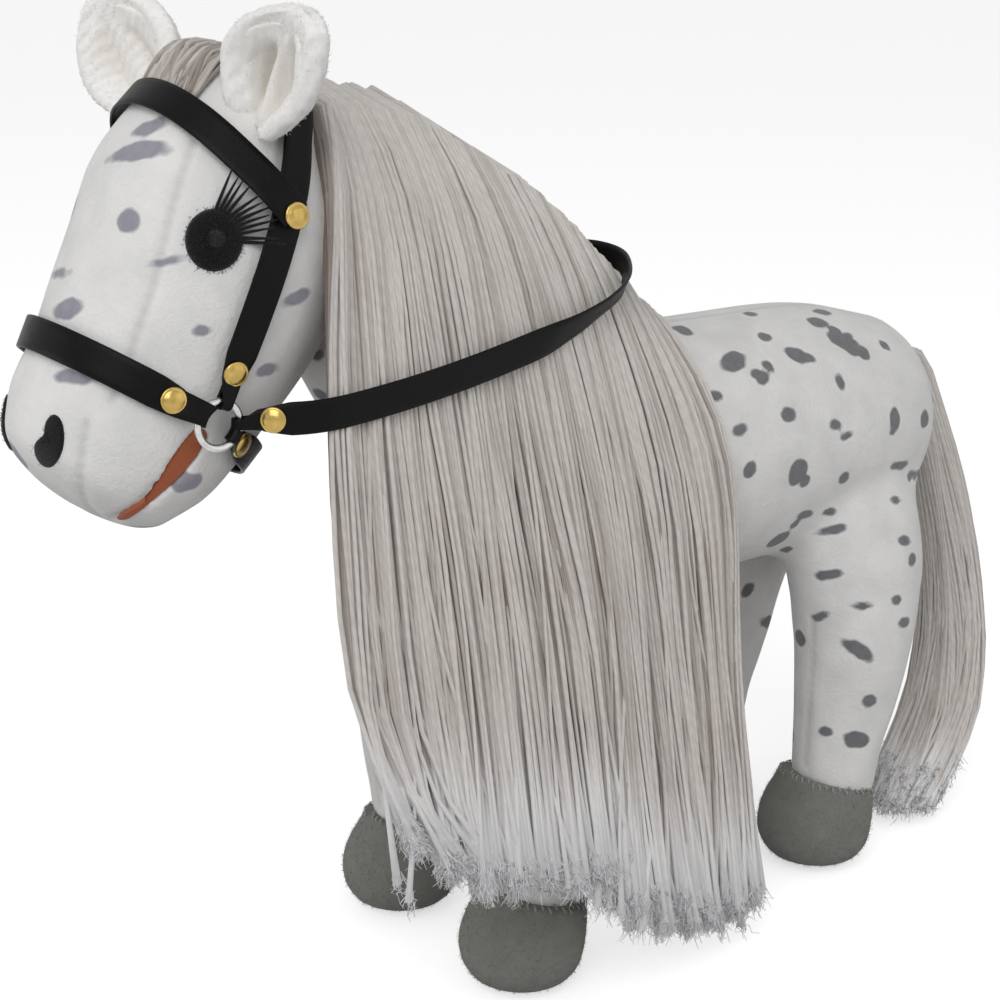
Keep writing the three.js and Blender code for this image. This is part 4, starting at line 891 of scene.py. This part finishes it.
eye_across, eye_down = 214, 240
lash_count, lash_across, lash_down = 12, 27, 29
nostril_rim = [
    (55, 413), (60, 416), (64, 424), (65.5, 437), (64, 450), (59, 462), (51, 470), (42, 468), (35, 459),
    (33, 448), (36, 441), (42, 437), (45, 433), (45, 426), (47, 418), (51, 414),
]
for name, node, rim, crown, hairs, length in (
    ("eye", "eye", disc(eye_across, eye_down, 61, 66), 1.6 * mm, 2600, 1.1 * mm),
    ("nostril_patch", "nostril", nostril_rim, 1.0 * mm, 700, 0.4 * mm),
):
    left = patch(f"{name}_left_felt", rim, crown)
    for hand, made in (("left", left), ("right", mirrored(left, f"{name}_right_felt"))):
        settle(made, black_felt, "black_felt", "horse", f"{node}_{hand}")
        nap(f"{name}_{hand}_nap", made, black_felt, "black_felt", hairs, length, 0.1 * mm, 0.9)
left = patch("eye_left_button", disc(216, 239, 24, 26), 2.0 * mm)
for made in (left, mirrored(left, "eye_right_button")):
    settle(made, button.material, "black_felt", "horse")

lashes = []
for step in range(lash_count):
    share = step / (lash_count - 1)
    turn = math.radians(88 - 92 * share)
    root_across, root_down = eye_across + lash_across * math.cos(turn), eye_down - lash_down * math.sin(turn)
    root = seen(head_faces, root_across, root_down)
    normal = head_faces.find_nearest(root)[1]
    reach = 38 - 10 * share + chance.normal(0, 4)
    fan = turn - 0.30 + 0.25 * share + chance.normal(0, 0.07)
    tip = seen(head_faces, root_across + reach * math.cos(fan), root_down - reach * math.sin(fan))
    tip_normal = head_faces.find_nearest(tip)[1]
    path = []
    for place in np.linspace(0, 1, 8):
        stand = 0.5 + 6.5 * place ** 1.3
        path.append(root.lerp(tip, place) + normal.lerp(tip_normal, place) * stand * mm)
    lashes.append(path)
lashes = np.array(lashes)
lash_sizes = np.array([0.6, 0.62, 0.6, 0.56, 0.5, 0.42, 0.32, 0.14]) * mm
left = spun("eyelashes_left_thread", lashes, lash_sizes, np.zeros(len(lashes)), 0, 6)
for made, hand in ((left, "left"), (mirrored(left, "eyelashes_right_thread"), "right")):
    settle(made, black_felt, "black_felt", "horse", f"eyelashes_{hand}")


# Yarn. The mane, forelock and tail are soft cotton yarn, two plies twisted together and cut, so
# that every end opens into paler loose fibres.
def yarn_look(name, light, dark, end):
    look = Look(name, roughness=0.9, sheen_weight=0.3, sheen_roughness=0.5, specular_ior_level=0.2)
    spun_map = look.node("ShaderNodeUVMap", {"uv_map": "spun"})
    around = look.node("ShaderNodeSeparateXYZ", {}, {0: spun_map}, 0)
    along = Wire(look, around.socket.node.outputs[1])
    twist = ((along * 1.6 + around) * (2 * math.pi)).wave() * 0.5 + 0.5
    fluff = look.noise(0.6 * mm, 3, rough=0.7)
    worn = look.noise(26 * mm, 3)
    # The strand's number runs from the dark to the light colour: a random tone, and for mane and tail also
    # painted shade of deep or inner strands
    colour = look.mix((look.told("strand") + (worn - 0.5) * 0.5).clear(), dark, light)
    # Painted shade in the grooves between the twisted plies
    colour = look.mix((1 - twist) * 0.12, colour, shade(150, 141, 134))
    colour = look.mix(look.told("tip"), colour, end)
    look.feed(base_color=colour, normal=look.bumps(twist * 0.4 + fluff * 0.6, 0.12 * mm))
    return look.material


# The dark colour serves both dark strands and the painted shade of deep ones
mane_yarn = yarn_look("grey_yarn", shade(220, 215, 210), shade(136, 122, 114), shade(252, 252, 254))


def frayed(name, yarn, strands, body_name, fibres, length):
    """Loose fibres that open from the cut ends of the yarn."""
    ends, ways = yarn[:, -1], unit(yarn[:, -1] - yarn[:, -2])
    count = len(ends) * fibres
    way = unit(np.repeat(ways, fibres, axis=0) + chance.normal(0, 0.2, (count, 3)))
    reach = length * chance.uniform(0.4, 1.3, (count, 1))
    start = np.repeat(ends, fibres, axis=0) - np.repeat(ways, fibres, axis=0) * 4 * mm
    start += chance.normal(0, 0.5 * mm, (count, 3))
    shares = np.array([0, 0.3, 0.55, 0.8, 1])
    paths = start[:, None] + way[:, None] * reach[:, None] * shares[:, None]
    paths += chance.normal(0, 0.75 * mm, paths.shape) * np.array([0, 0.7, 1, 1.2, 1.5])[:, None]
    paths[:, :, 2] = np.maximum(paths[:, :, 2], 0.4 * mm)
    thick = np.array([0.2, 0.2, 0.18, 0.16, 0.1]) * mm
    loose = spun(name, paths, thick, np.repeat(strands, fibres), [0.4, 0.8, 1, 1, 1], 3)
    settle(loose, mane_yarn, "yarn", body_name)


# Mane. Its strands are sewn to the tape on the crest just right of the middle, fold over the crest
# and hang down the left side in uneven locks to the hooves.
mane_faces = surface_of(loose_copy("mane"))
neck_middle, neck_long = -50, 165
crest_front, crest_rear = neck_middle - 0.63 * neck_long, neck_middle + 0.30 * neck_long
hem_front, hem_rear = -182, 14
rein_front, rein_rear, rein_level = -208, -18, 244.7
# The hem's height in millimetres, from its front to its rear
hem_places = [0, 0.06, 0.13, 0.27, 0.42, 0.51, 0.58, 0.72, 0.84, 0.91, 1]
hem_heights = [104, 91, 80, 72, 65, 57, 45, 27, 15, 18, 14]


def hem_height(share):
    return np.interp(share, hem_places, hem_heights)


def mane_side(x, z):
    """The outside of the mane at a place of the pattern, or the next one within its edges."""
    inwards = 1 if x < (hem_front + hem_rear) / 2 else -1
    for shift in (0, 1.5, 3, 5, 8, 12, 18, 26):
        hit, normal = mane_faces.ray_cast(at(x + inwards * shift, -300, z), Vector((0, 1, 0)))[:2]
        if hit:
            return hit, normal if normal.y < 0 else -normal
    return None, None


def crest_top(x):
    hit = mane_faces.ray_cast(at(x, -1, 500), Vector((0, 0, -1)))[0]
    return (hit - pattern_zero).z / mm


def rein_height(x):
    """Where the rein will lie over the yarn, which it holds down."""
    share = max(0, (x - rein_front) / (rein_rear - rein_front))
    return rein_level + (crest_top(rein_rear) - rein_level) * share ** 2


def sway(share, lowered, x, z):
    """Neighbouring strands lean and stand out together."""
    aside = 3.4 * math.sin(21 * share + 2.4 * lowered + 0.5) + 2.2 * math.sin(53 * share - 3.1 * lowered + 1)
    aside += 1.1 * math.sin(127 * share + 4 * lowered + 2)
    stand = 1.1 * math.sin(47 * share + 3 * lowered) + 1.1 * math.sin(111 * share - 2 * lowered)
    free = 1 - math.exp(-(((z - rein_height(x)) / 13) ** 2))
    return aside * lowered, stand * free * min(1, 3 * lowered)


def mane_strand(share, deep, wander, cut):
    """The path of a strand from its root, by its share of the hem and how deep in the mane it lies."""
    root_x = crest_front + (crest_rear - crest_front) * share ** 1.65
    hem_x = hem_front + (hem_rear - hem_front) * share
    top = crest_top(min(max(root_x, crest_front + 0.5), crest_rear - 0.5))
    bottom = hem_height(share) + cut
    path = [at(root_x, 5, top - 2.5 - deep), at(root_x, 0, top - 0.4 - deep)]
    last, inwards = None, 0
    phase = chance.uniform(0, 6.3)
    for step in range(1, 14):
        lowered = (step / 13) ** 1.4
        z = top + (bottom - top) * lowered
        x = hem_x + (root_x - hem_x) * (1 - lowered) ** 2.4
        aside, stand = sway(share + 0.009 * deep, lowered, x, z)
        x += aside + wander * math.sin(1.7 * lowered * math.pi + phase) * lowered
        x = min(max(x, hem_front + 2), hem_rear)
        hit, normal = mane_side(x, z)
        if hit:
            place = last = hit - normal * (deep - stand) * mm
            inwards = hit.x - at(x, 0, z).x
        else:
            place = Vector((at(x, 0, z).x + inwards, last.y if last else at(0, -10, 0).y, z * mm))
        path.append(place)
    return path


def hung(name, strand_count, depths, sides, fibres):
    """A layer of the mane."""
    paths, strand_tone_and_depth_shade = [], []
    for index in range(strand_count):
        share = min(1, max(0, (index + chance.uniform(-0.8, 0.8)) / strand_count))
        deep = depths[index % len(depths)] + chance.uniform(-0.5, 0.5)
        share = 0.5 + (share - 0.5) * (1 - 0.012 * max(0, deep))
        wander = chance.normal(0, 2) if chance.random() < 0.82 else chance.normal(0, 9)
        strand = mane_strand(share, deep, wander, chance.normal(0, 3.5) + 6)
        if strand[-1].x < at(hem_front + 9, 0, 0).x:
            continue
        paths.append(strand)
        # Deeper strands are darker: painted shade between the locks, on top of a random tone
        strand_tone_and_depth_shade.append(np.clip(1.05 - 0.2 * deep + chance.normal(0, 0.2), 0, 1))
    paths, strand_tone_and_depth_shade = np.array(paths), np.array(strand_tone_and_depth_shade)
    steps = paths.shape[1]
    flare = np.array([0.7] + [1] * (steps - 2) + [1.8])
    thick = chance.uniform(0.68, 0.95, (len(paths), 1)) * mm * flare
    for _ in range(2):
        paths[:, 3:-1] = (paths[:, 2:-2] + 2 * paths[:, 3:-1] + paths[:, 4:]) / 4
    hank = spun(name, paths, thick, strand_tone_and_depth_shade, [0] * (steps - 2) + [0.45, 1], sides)
    settle(hank, mane_yarn, "yarn", "horse")
    frayed(f"{name}_ends", paths, strand_tone_and_depth_shade, "horse", fibres, 7.5 * mm)
    return hank


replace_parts(hung("mane_yarn", 300, (0.3, 1.4), 6, 18), "mane")
hung("mane_middle_yarn", 380, (2.4, 3.4), 5, 13)
hung("mane_under_yarn", 540, (4.4, 5.4, 6.4), 4, 8)

# The tape is woven cotton, which shows behind the roots of the strands
tape = Look("woven_tape", roughness=0.9)
weave = tape.node("ShaderNodeTexChecker", {}, {"Vector": tape.place, "Scale": 1 / (0.8 * mm)}, 1)
tape.feed(base_color=tape.mix(weave, shade(196, 190, 184), shade(166, 160, 154)),
          normal=tape.bumps(weave, 0.15 * mm))
for place in nodes["mane_tape"].material_slots:
    place.material = tape.material

# Forelock. The first strands of the mane are brought forward over the poll and tucked under the
# browband between the ears.
head_form = surface_of(loose_copy("head"))
forelock_rear, forelock_reach, forelock_half = -118, 31, 19
locks = []
for index in range(150):
    side = chance.uniform(-15, 15)
    lift = chance.uniform(0.4, 5) * math.sqrt(max(0.1, 1 - (side / 18) ** 2))
    sweep = chance.normal(-4, 6)
    wave, phase = chance.uniform(1, 3), chance.uniform(0, 6.3)
    path = []
    for step in range(10):
        share = step / 9
        aside = (side + sweep * share + wave * math.sin(5 * share + phase)) / forelock_half
        start = on_head(forelock_rear + forelock_reach * share, 120, forelock_half * math.tanh(aside))
        hit, normal = head_form.ray_cast(start, -head_rise)[:2]
        if not hit:
            hit, normal = head_form.find_nearest(start)[:2]
        path.append(hit + head_rise * (0.2 + lift * math.sin(math.pi * min(1, share * 0.85 + 0.12))) * mm)
    locks.append(path)
locks = np.array(locks)
forelock = spun("forelock_yarn", locks, 0.8 * mm, chance.uniform(0.1, 0.9, len(locks)), 0, 6, aside=(0, 1, 0))
settle(forelock, mane_yarn, "yarn", "horse", "forelock")

# Tail. The same yarn in a bunch, sewn into the seam of the rump. It stands off the hock, swings to
# the left and spreads at its cut end.
tail_long, tail_left, tail_deep, tail_wide = 213, 50, 26, 46
tail_x, tail_z = 166, 216
# Rows from the root to the end, as shares of those sizes: drop, back, left, depth and width
tail_rows = np.array([
    [0.00, -0.010, 0.00, 0.42, 0.34],
    [0.08, 0.038, 0.06, 0.55, 0.40],
    [0.25, 0.097, 0.12, 0.80, 0.48],
    [0.36, 0.128, 0.15, 0.94, 0.57],
    [0.52, 0.162, 0.20, 0.98, 0.66],
    [0.66, 0.155, 0.30, 0.94, 0.80],
    [0.78, 0.108, 0.44, 1.05, 0.87],
    [0.89, 0.030, 0.60, 1.18, 0.86],
    [0.97, -0.050, 0.74, 1.25, 0.80],
]) * np.array([tail_long, tail_long, tail_left, tail_deep / 2, tail_wide / 2])


def tail_row(place):
    return [np.interp(place, np.linspace(0, 1, len(tail_rows)), tail_rows[:, column]) for column in range(5)]


tail_sunk = Vector((11, 0, 3)) * mm
tail_paths, tail_tone_and_inner_shade = [], []
for index in range(560):
    turn = chance.uniform(0, 2 * math.pi)
    reach = math.sqrt(chance.uniform(0.25, 1)) * 0.96
    length = chance.uniform(0.9, 1.02)
    drift = chance.normal(0, 0.35)
    path = []
    for step in range(15):
        place = step / 14 * length
        drop, back, left, deep, wide = tail_row(min(1, place))
        spin = turn + drift * place + 0.12 * math.sin(9 * place + 5 * turn)
        x = tail_x + back + reach * deep * math.cos(spin)
        y = -left + reach * wide * math.sin(spin)
        z = max(1.2, tail_z - drop - max(0, place - 1) * 100)
        spot = at(x - max(0, place - 0.8) * 60, y, z)
        path.append(spot - tail_sunk if step == 0 else spot)
    tail_paths.append(path)
    # Strands nearer the middle of the bunch are darker: painted shade inside it, on top of a random tone
    tail_tone_and_inner_shade.append(np.clip(reach * 1.1 - 0.05 + chance.normal(0, 0.22), 0, 1))
tail_paths = np.array(tail_paths)
tail = spun("tail_yarn", tail_paths, 0.82 * mm, tail_tone_and_inner_shade, [0] * 13 + [0.25, 1], 6, aside=(0, 1, 0))
settle(tail, mane_yarn, "yarn", "tail", "tail")
frayed("tail_frayed_ends", tail_paths, tail_tone_and_inner_shade, "tail", 12, 6 * mm)

# Bridle. Black bridle leather with a satin face and rounded edges. Each strap is folded round a ring
# at both ends, and the fold is closed by a rivet.
leather = Look("black_leather", roughness=0.36, specular_ior_level=0.1)
grain = leather.node(
    "ShaderNodeTexVoronoi", {"feature": "F1"}, {"Vector": leather.place, "Scale": 1 / (0.55 * mm)},
)
creases = leather.noise(6 * mm, 3)
scuffs = leather.noise(1.6 * mm, 4, rough=0.7)
leather.feed(
    base_color=leather.mix((scuffs - 0.45).clear() * 0.8, shade(6, 6, 7), shade(28, 28, 30)),
    roughness=creases * 0.22 + scuffs * 0.12 + 0.22,
    normal=leather.bumps(grain * 0.45 + creases * 0.4 + scuffs * 0.15, 0.1 * mm),
)
strap_wide, cad_thick, leather_thick = 11 * mm, 1.7 * mm, 1.15 * mm
face_lift = (cad_thick - leather_thick) / 2
ring_radius, wire_radius, fold_radius = 7.6 * mm, 1.25 * mm, 2.2 * mm
strap_end, under_end = 13.5 * mm, 25 * mm
ring_stand = (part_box("ring_right")[1].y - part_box("ring_left")[0].y) / 2 - wire_radius
ring_middle = on_head(-0.035 * head_long, -0.046 * head_high)


def strap_line(name, eye, ways, upright):
    """The middle of a strap and the way it faces, looked for from inside it."""
    low, high, evener = (-6, 40, 7 * mm) if upright is None else (-3.4, 3.5, 3 * mm)
    faces = surface_of(nodes[name])
    found, facing = [], []
    for way in ways:
        hits = []
        for across in np.arange(low, high, 0.4):
            from_eye = eye + (upright or Vector((0, 0, 1))) * across * mm
            hit, normal = faces.ray_cast(from_eye + way * 200 * mm, -way)[:2]
            if hit and (hit - from_eye).dot(way) > 4 * mm and normal.dot(way) > 0.1:
                hits.append((across, hit - normal * cad_thick / 2, normal))
        if hits:
            lowest, highest = hits[0], hits[-1]
            if upright and lowest[0] + highest[0] > 0.5:
                continue
            found.append((lowest[1] + highest[1]) / 2)
            facing.append((lowest[2] + highest[2]).normalized())
    found, facing = np.array(found), np.array(facing)
    run = np.append(0, np.cumsum(np.linalg.norm(np.diff(found, axis=0), axis=1)))
    even = np.linspace(0, run[-1], max(8, int(run[-1] / (1.5 * mm))))
    soft = np.exp(-0.5 * ((even[:, None] - even[None, :]) / evener) ** 2)
    evened = []
    for values in (found, facing):
        spread = np.stack([np.interp(even, run, values[:, axis]) for axis in range(3)], axis=1)
        first, last = spread[0], spread[-1]
        flat = first + (last - first) * np.linspace(0, 1, len(even))[:, None]
        weights = soft / soft.sum(axis=1, keepdims=True)
        evened.append(flat + weights @ (spread - flat))
    return evened[0], unit(evened[1])


def sweep(forward, most, steps=240):
    side = Vector((0, 1, 0))
    return [forward * math.cos(turn) + side * math.sin(turn)
            for turn in np.radians(np.linspace(-most, most, steps))]


def strap(name, line, facing, widths, bows, body_name):
    """A leather ribbon with rounded edges along a line."""
    line, facing = np.array(line), np.array(facing)
    ahead = unit(np.gradient(line, axis=0))
    across = unit(np.cross(facing, ahead))
    out = np.cross(ahead, across)
    corner = 0.45 * mm
    half_thick = leather_thick / 2
    rows = []
    for middle, side, up, wide, bow in zip(line, across, out, widths, bows):
        half = wide / 2
        section = [(half - corner, half_thick), (half - 0.12 * mm, 0.6 * half_thick), (half, 0)]
        section += [(u, -v) for u, v in section[1::-1]]
        inner = [half * share for share in (0.6, 0.2, -0.2, -0.6)]
        section += [(u, -half_thick) for u in inner] + [(-u, v) for u, v in section[::-1]]
        section += [(-u, half_thick) for u in inner]
        row = []
        for u, v in section:
            bent = ring_radius - math.sqrt(ring_radius ** 2 - min(abs(u), 0.95 * ring_radius) ** 2)
            row.append(middle + side * u + up * v + np.array(bow) * bent)
        rows.append(row)
    made = rod(f"{name}_leather", [point for row in rows for point in row], len(rows[0]))
    settle(made, leather.material, "bridle_leather", body_name, name)
    only(made)
    bpy.ops.object.shade_smooth_by_angle(angle=math.radians(50))


def folded_end(line, facing, side, wire_way):
    """The fold of a strap round the ring: from under the rivet, round the wire and back out."""
    outward = Vector((0, side, 0))
    heart = Vector((ring_middle.x, middle_y + side * ring_stand, ring_middle.z))
    away = np.linalg.norm(line - np.array(heart), axis=1)
    kept = [index for index in range(len(line)) if away[index] > strap_end]
    kept = kept if away[0] < away[-1] else kept[::-1]
    wire = heart + wire_way * ring_radius
    turned_facing = [outward * math.cos(turn) - wire_way * math.sin(turn)
                     for turn in np.radians(np.arange(0, 181, 20))]
    turned = [wire + way * fold_radius for way in turned_facing]
    under = []
    for index in kept[:14]:
        if away[index] < under_end:
            out = Vector(facing[index])
            under.append(Vector(line[index]) + out * face_lift - out * 1.2 * leather_thick)
    return heart, kept, turned, turned_facing, under


def ringed(name, eye, ways, turns, ring_wide, upright, body_name="horse"):
    """A strap from ring to ring, folded at both ends."""
    wire_way = slope(turns)
    line, facing = strap_line(name, eye, ways, upright)
    ends = [folded_end(line, facing, side, wire_way) for side in (-1, 1)]
    middle = []
    for index in sorted(set(ends[0][1]) & set(ends[1][1])):
        near = min(np.linalg.norm(line[index] - np.array(end[0])) for end in ends)
        share = min(1, max(0, (near - 9 * mm) / (14 * mm)))
        out = Vector(facing[index])
        wide = ring_wide + (strap_wide - ring_wide) * share ** 0.7
        middle.append((Vector(line[index]) + out * face_lift, out, wide, 0.0))
    ends.sort(key=lambda end: (middle[0][0] - end[0]).length)
    chains = []
    for _, kept, turned, turned_facing, under in ends:
        under_facing = [-Vector(facing[index]) for index in kept[:len(under)]]
        chain = list(zip(under[::-1], under_facing[::-1], [ring_wide + 2.2 * mm] * (len(under) - 2)
                         + [ring_wide + 1 * mm, ring_wide], [0.0] * (len(under) - 1) + [0.6]))
        chain += [(place, way, ring_wide, 1.0) for place, way in zip(turned[::-1], turned_facing[::-1])]
        chains.append(chain)
    places, outs, widths, weights = zip(*chains[0], *middle, *chains[1][::-1])
    strap(name, places, outs, widths, [-wire_way * weight for weight in weights], body_name)
    return line, facing


crown_root = on_head(-0.46 * head_long, 0.165 * head_high)
crown_edge = crown_root - Vector((ring_middle.x, 0, ring_middle.z))
crown_up = Vector((crown_edge.x, 0, crown_edge.z)).normalized()
crown_degrees = math.degrees(math.atan2(crown_edge.z, crown_edge.x))
brow_middle = on_head(-0.455 * head_long, 0.148 * head_high)
brow_front = on_head(-0.525 * head_long, 0.56 * head_high)
# Each strap is looked for around a middle. Its place on the ring is an angle, and its loop there is
# narrow, so that the reins pass the crownpiece when they lift.
lines = {
    "noseband": ringed("noseband", ring_middle, sweep(slope(head_slope - 84), 88), head_slope - 90, 7.5 * mm,
                       slope(head_slope + 6)),
    "chin": ringed("chin_strap", ring_middle, sweep(-head_rise, 88), head_slope - 270, 4.6 * mm, head_along),
    "cheek": ringed("crownpiece", crown_root, sweep(crown_up, 149, 400), crown_degrees + 4, 4.0 * mm,
                    slope(crown_degrees + 90)),
}
rein_eye = at(-116.4, 0, 240)
round_ways = [Vector((math.cos(turn), -math.sin(turn), 0))
              for turn in np.radians(np.linspace(172, -172, 400))]
lines["rein"] = ringed("reins", rein_eye, round_ways, -6, 3.6 * mm, None, "reins")
brow_forward = (brow_front - brow_middle).normalized()
brow_line, brow_facing = strap_line("browband", brow_middle, sweep(brow_forward, 99),
                                    brow_forward.cross(Vector((0, 1, 0))))
lines["browband"] = brow_line, brow_facing
brow_line, brow_facing = brow_line[5:-5], brow_facing[5:-5]
strap("browband", brow_line + brow_facing * face_lift, brow_facing,
      [strap_wide] * len(brow_line), [(0, 0, 0)] * len(brow_line), "horse")

# Rings and rivets. The rings are bent from bright wire; each rivet is a stamped brass cap with a
# rolled rim on a shank through the leather.
def metal(name, light, dark, dullness):
    look = Look(name, metallic=1)
    look.feed(base_color=look.mix(look.noise(2 * mm, 3), light, dark),
              roughness=look.noise(0.8 * mm, 3) * 0.2 + dullness)
    return look


brass = metal("brass", shade(192, 166, 100), shade(150, 124, 66), 0.14)
brass.feed(normal=brass.bumps(brass.noise(1.2 * mm, 2), 0.05 * mm))
steel = metal("steel_wire", shade(206, 206, 205), shade(164, 164, 164), 0.16)
for hand, side in (("left", -1), ("right", 1)):
    bpy.ops.object.select_all(action="DESELECT")
    bpy.ops.mesh.primitive_torus_add(
        location=(ring_middle.x, middle_y + side * ring_stand, ring_middle.z), rotation=(math.pi / 2, 0, 0),
        major_radius=ring_radius, minor_radius=wire_radius, major_segments=72, minor_segments=16,
    )
    ring = bpy.context.active_object
    ring.name = f"ring_{hand}_wire"
    bpy.ops.object.transform_apply(location=True, rotation=True, scale=True)
    settle(ring, steel.material, "ring_wire", f"ring_{hand}", f"ring_{hand}")

# Half of a rivet's section: distance from its axis and height over the leather, in millimetres
cap_profile = [(0, 1.8), (1.4, 1.72), (2.6, 1.42), (3.25, 1.06), (3.5, 0.92), (3.75, 0.96), (4.05, 0.86),
               (4.28, 0.55), (4.3, 0.2), (4.2, 0), (1.5, 0), (1.5, -1.4), (0, -1.4)]
cap_sides = 32
cap_corners = [Vector((radius * math.cos(turn), radius * math.sin(turn), height)) * mm
               for radius, height in cap_profile
               for turn in np.linspace(0, 2 * math.pi, cap_sides, endpoint=False)]
for name in nodes:
    if not name.startswith("rivet"):
        continue
    kind = name.split("_")[1]
    line, facing = lines[kind]
    low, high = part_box(name)
    nearest = np.argmin(np.linalg.norm(line - np.array((low + high) / 2), axis=1))
    place, way = Vector(line[nearest]), Vector(facing[nearest])
    place += way * cad_thick / 2
    cap = rod(f"{name}_cap", cap_corners, cap_sides)
    turned = way.to_track_quat("Z", "Y").to_matrix().to_4x4()
    cap.data.transform(Matrix.Translation(place) @ turned)
    settle(cap, brass.material, "rivet_brass", "reins" if kind == "rein" else "horse", name)

for spare in [item for item in bpy.data.objects if item.name.endswith("_form")]:
    bpy.data.objects.remove(spare)

# The studio. A pale floor that runs out of sight, soft light from the whole room and a large lamp
# over the camera's left shoulder. Seen straight or mirrored, the floor and the room are white.
bpy.ops.object.select_all(action="DESELECT")
bpy.ops.mesh.primitive_plane_add(size=60)
floor = bpy.context.active_object
floor.name = "floor"
paper = Look("white_paper", roughness=0.9)
paper.feed(base_color=shade(185, 185, 185))
bright = paper.node("ShaderNodeBsdfDiffuse", {}, {"Color": shade(236, 236, 236)})
glow = paper.node("ShaderNodeEmission", {}, {"Color": (1, 1, 1, 1), "Strength": 0.6})
shown = paper.node("ShaderNodeAddShader", {}, {0: bright, 1: glow})


def by_eye(look):
    """Whether light is on its way straight to the eye or off something shiny."""
    return (look.node("ShaderNodeLightPath", output="Is Camera Ray")
            + look.node("ShaderNodeLightPath", output="Is Glossy Ray")).at_most(1)


plain = Wire(paper, paper.shader.outputs[0])
chosen = paper.node("ShaderNodeMixShader", {}, {0: by_eye(paper), 1: plain, 2: shown})
paper.tree.links.new(chosen.socket, paper.tree.nodes["Material Output"].inputs["Surface"])
floor.data.materials.append(paper.material)

world = bpy.data.worlds.new("room")
bpy.context.scene.world = world
world.use_nodes = True
world.node_tree.nodes["Background"].inputs["Color"].default_value = (1, 1, 1, 1)
room = Look.__new__(Look)
room.tree = world.node_tree
room.plug(room.tree.nodes["Background"].inputs["Strength"], by_eye(room) * 0.62 + 0.38)
# Each lamp's place in the pattern, its size in metres and its power in watts
for name, place, size, power in (
    ("key", (-1300, -1100, 1500), 1.5, 19),
    ("fill", (600, -1500, 500), 1.6, 4.4),
    ("front", (-1500, 700, 420), 0.4, 3),
):
    lamp = placed(name, bpy.data.lights.new(name, "AREA"))
    lamp.data.size, lamp.data.energy = size, power
    aimed(lamp, at(*place), at(0, 0, 200))

bpy.context.scene.view_settings.view_transform = "Standard"
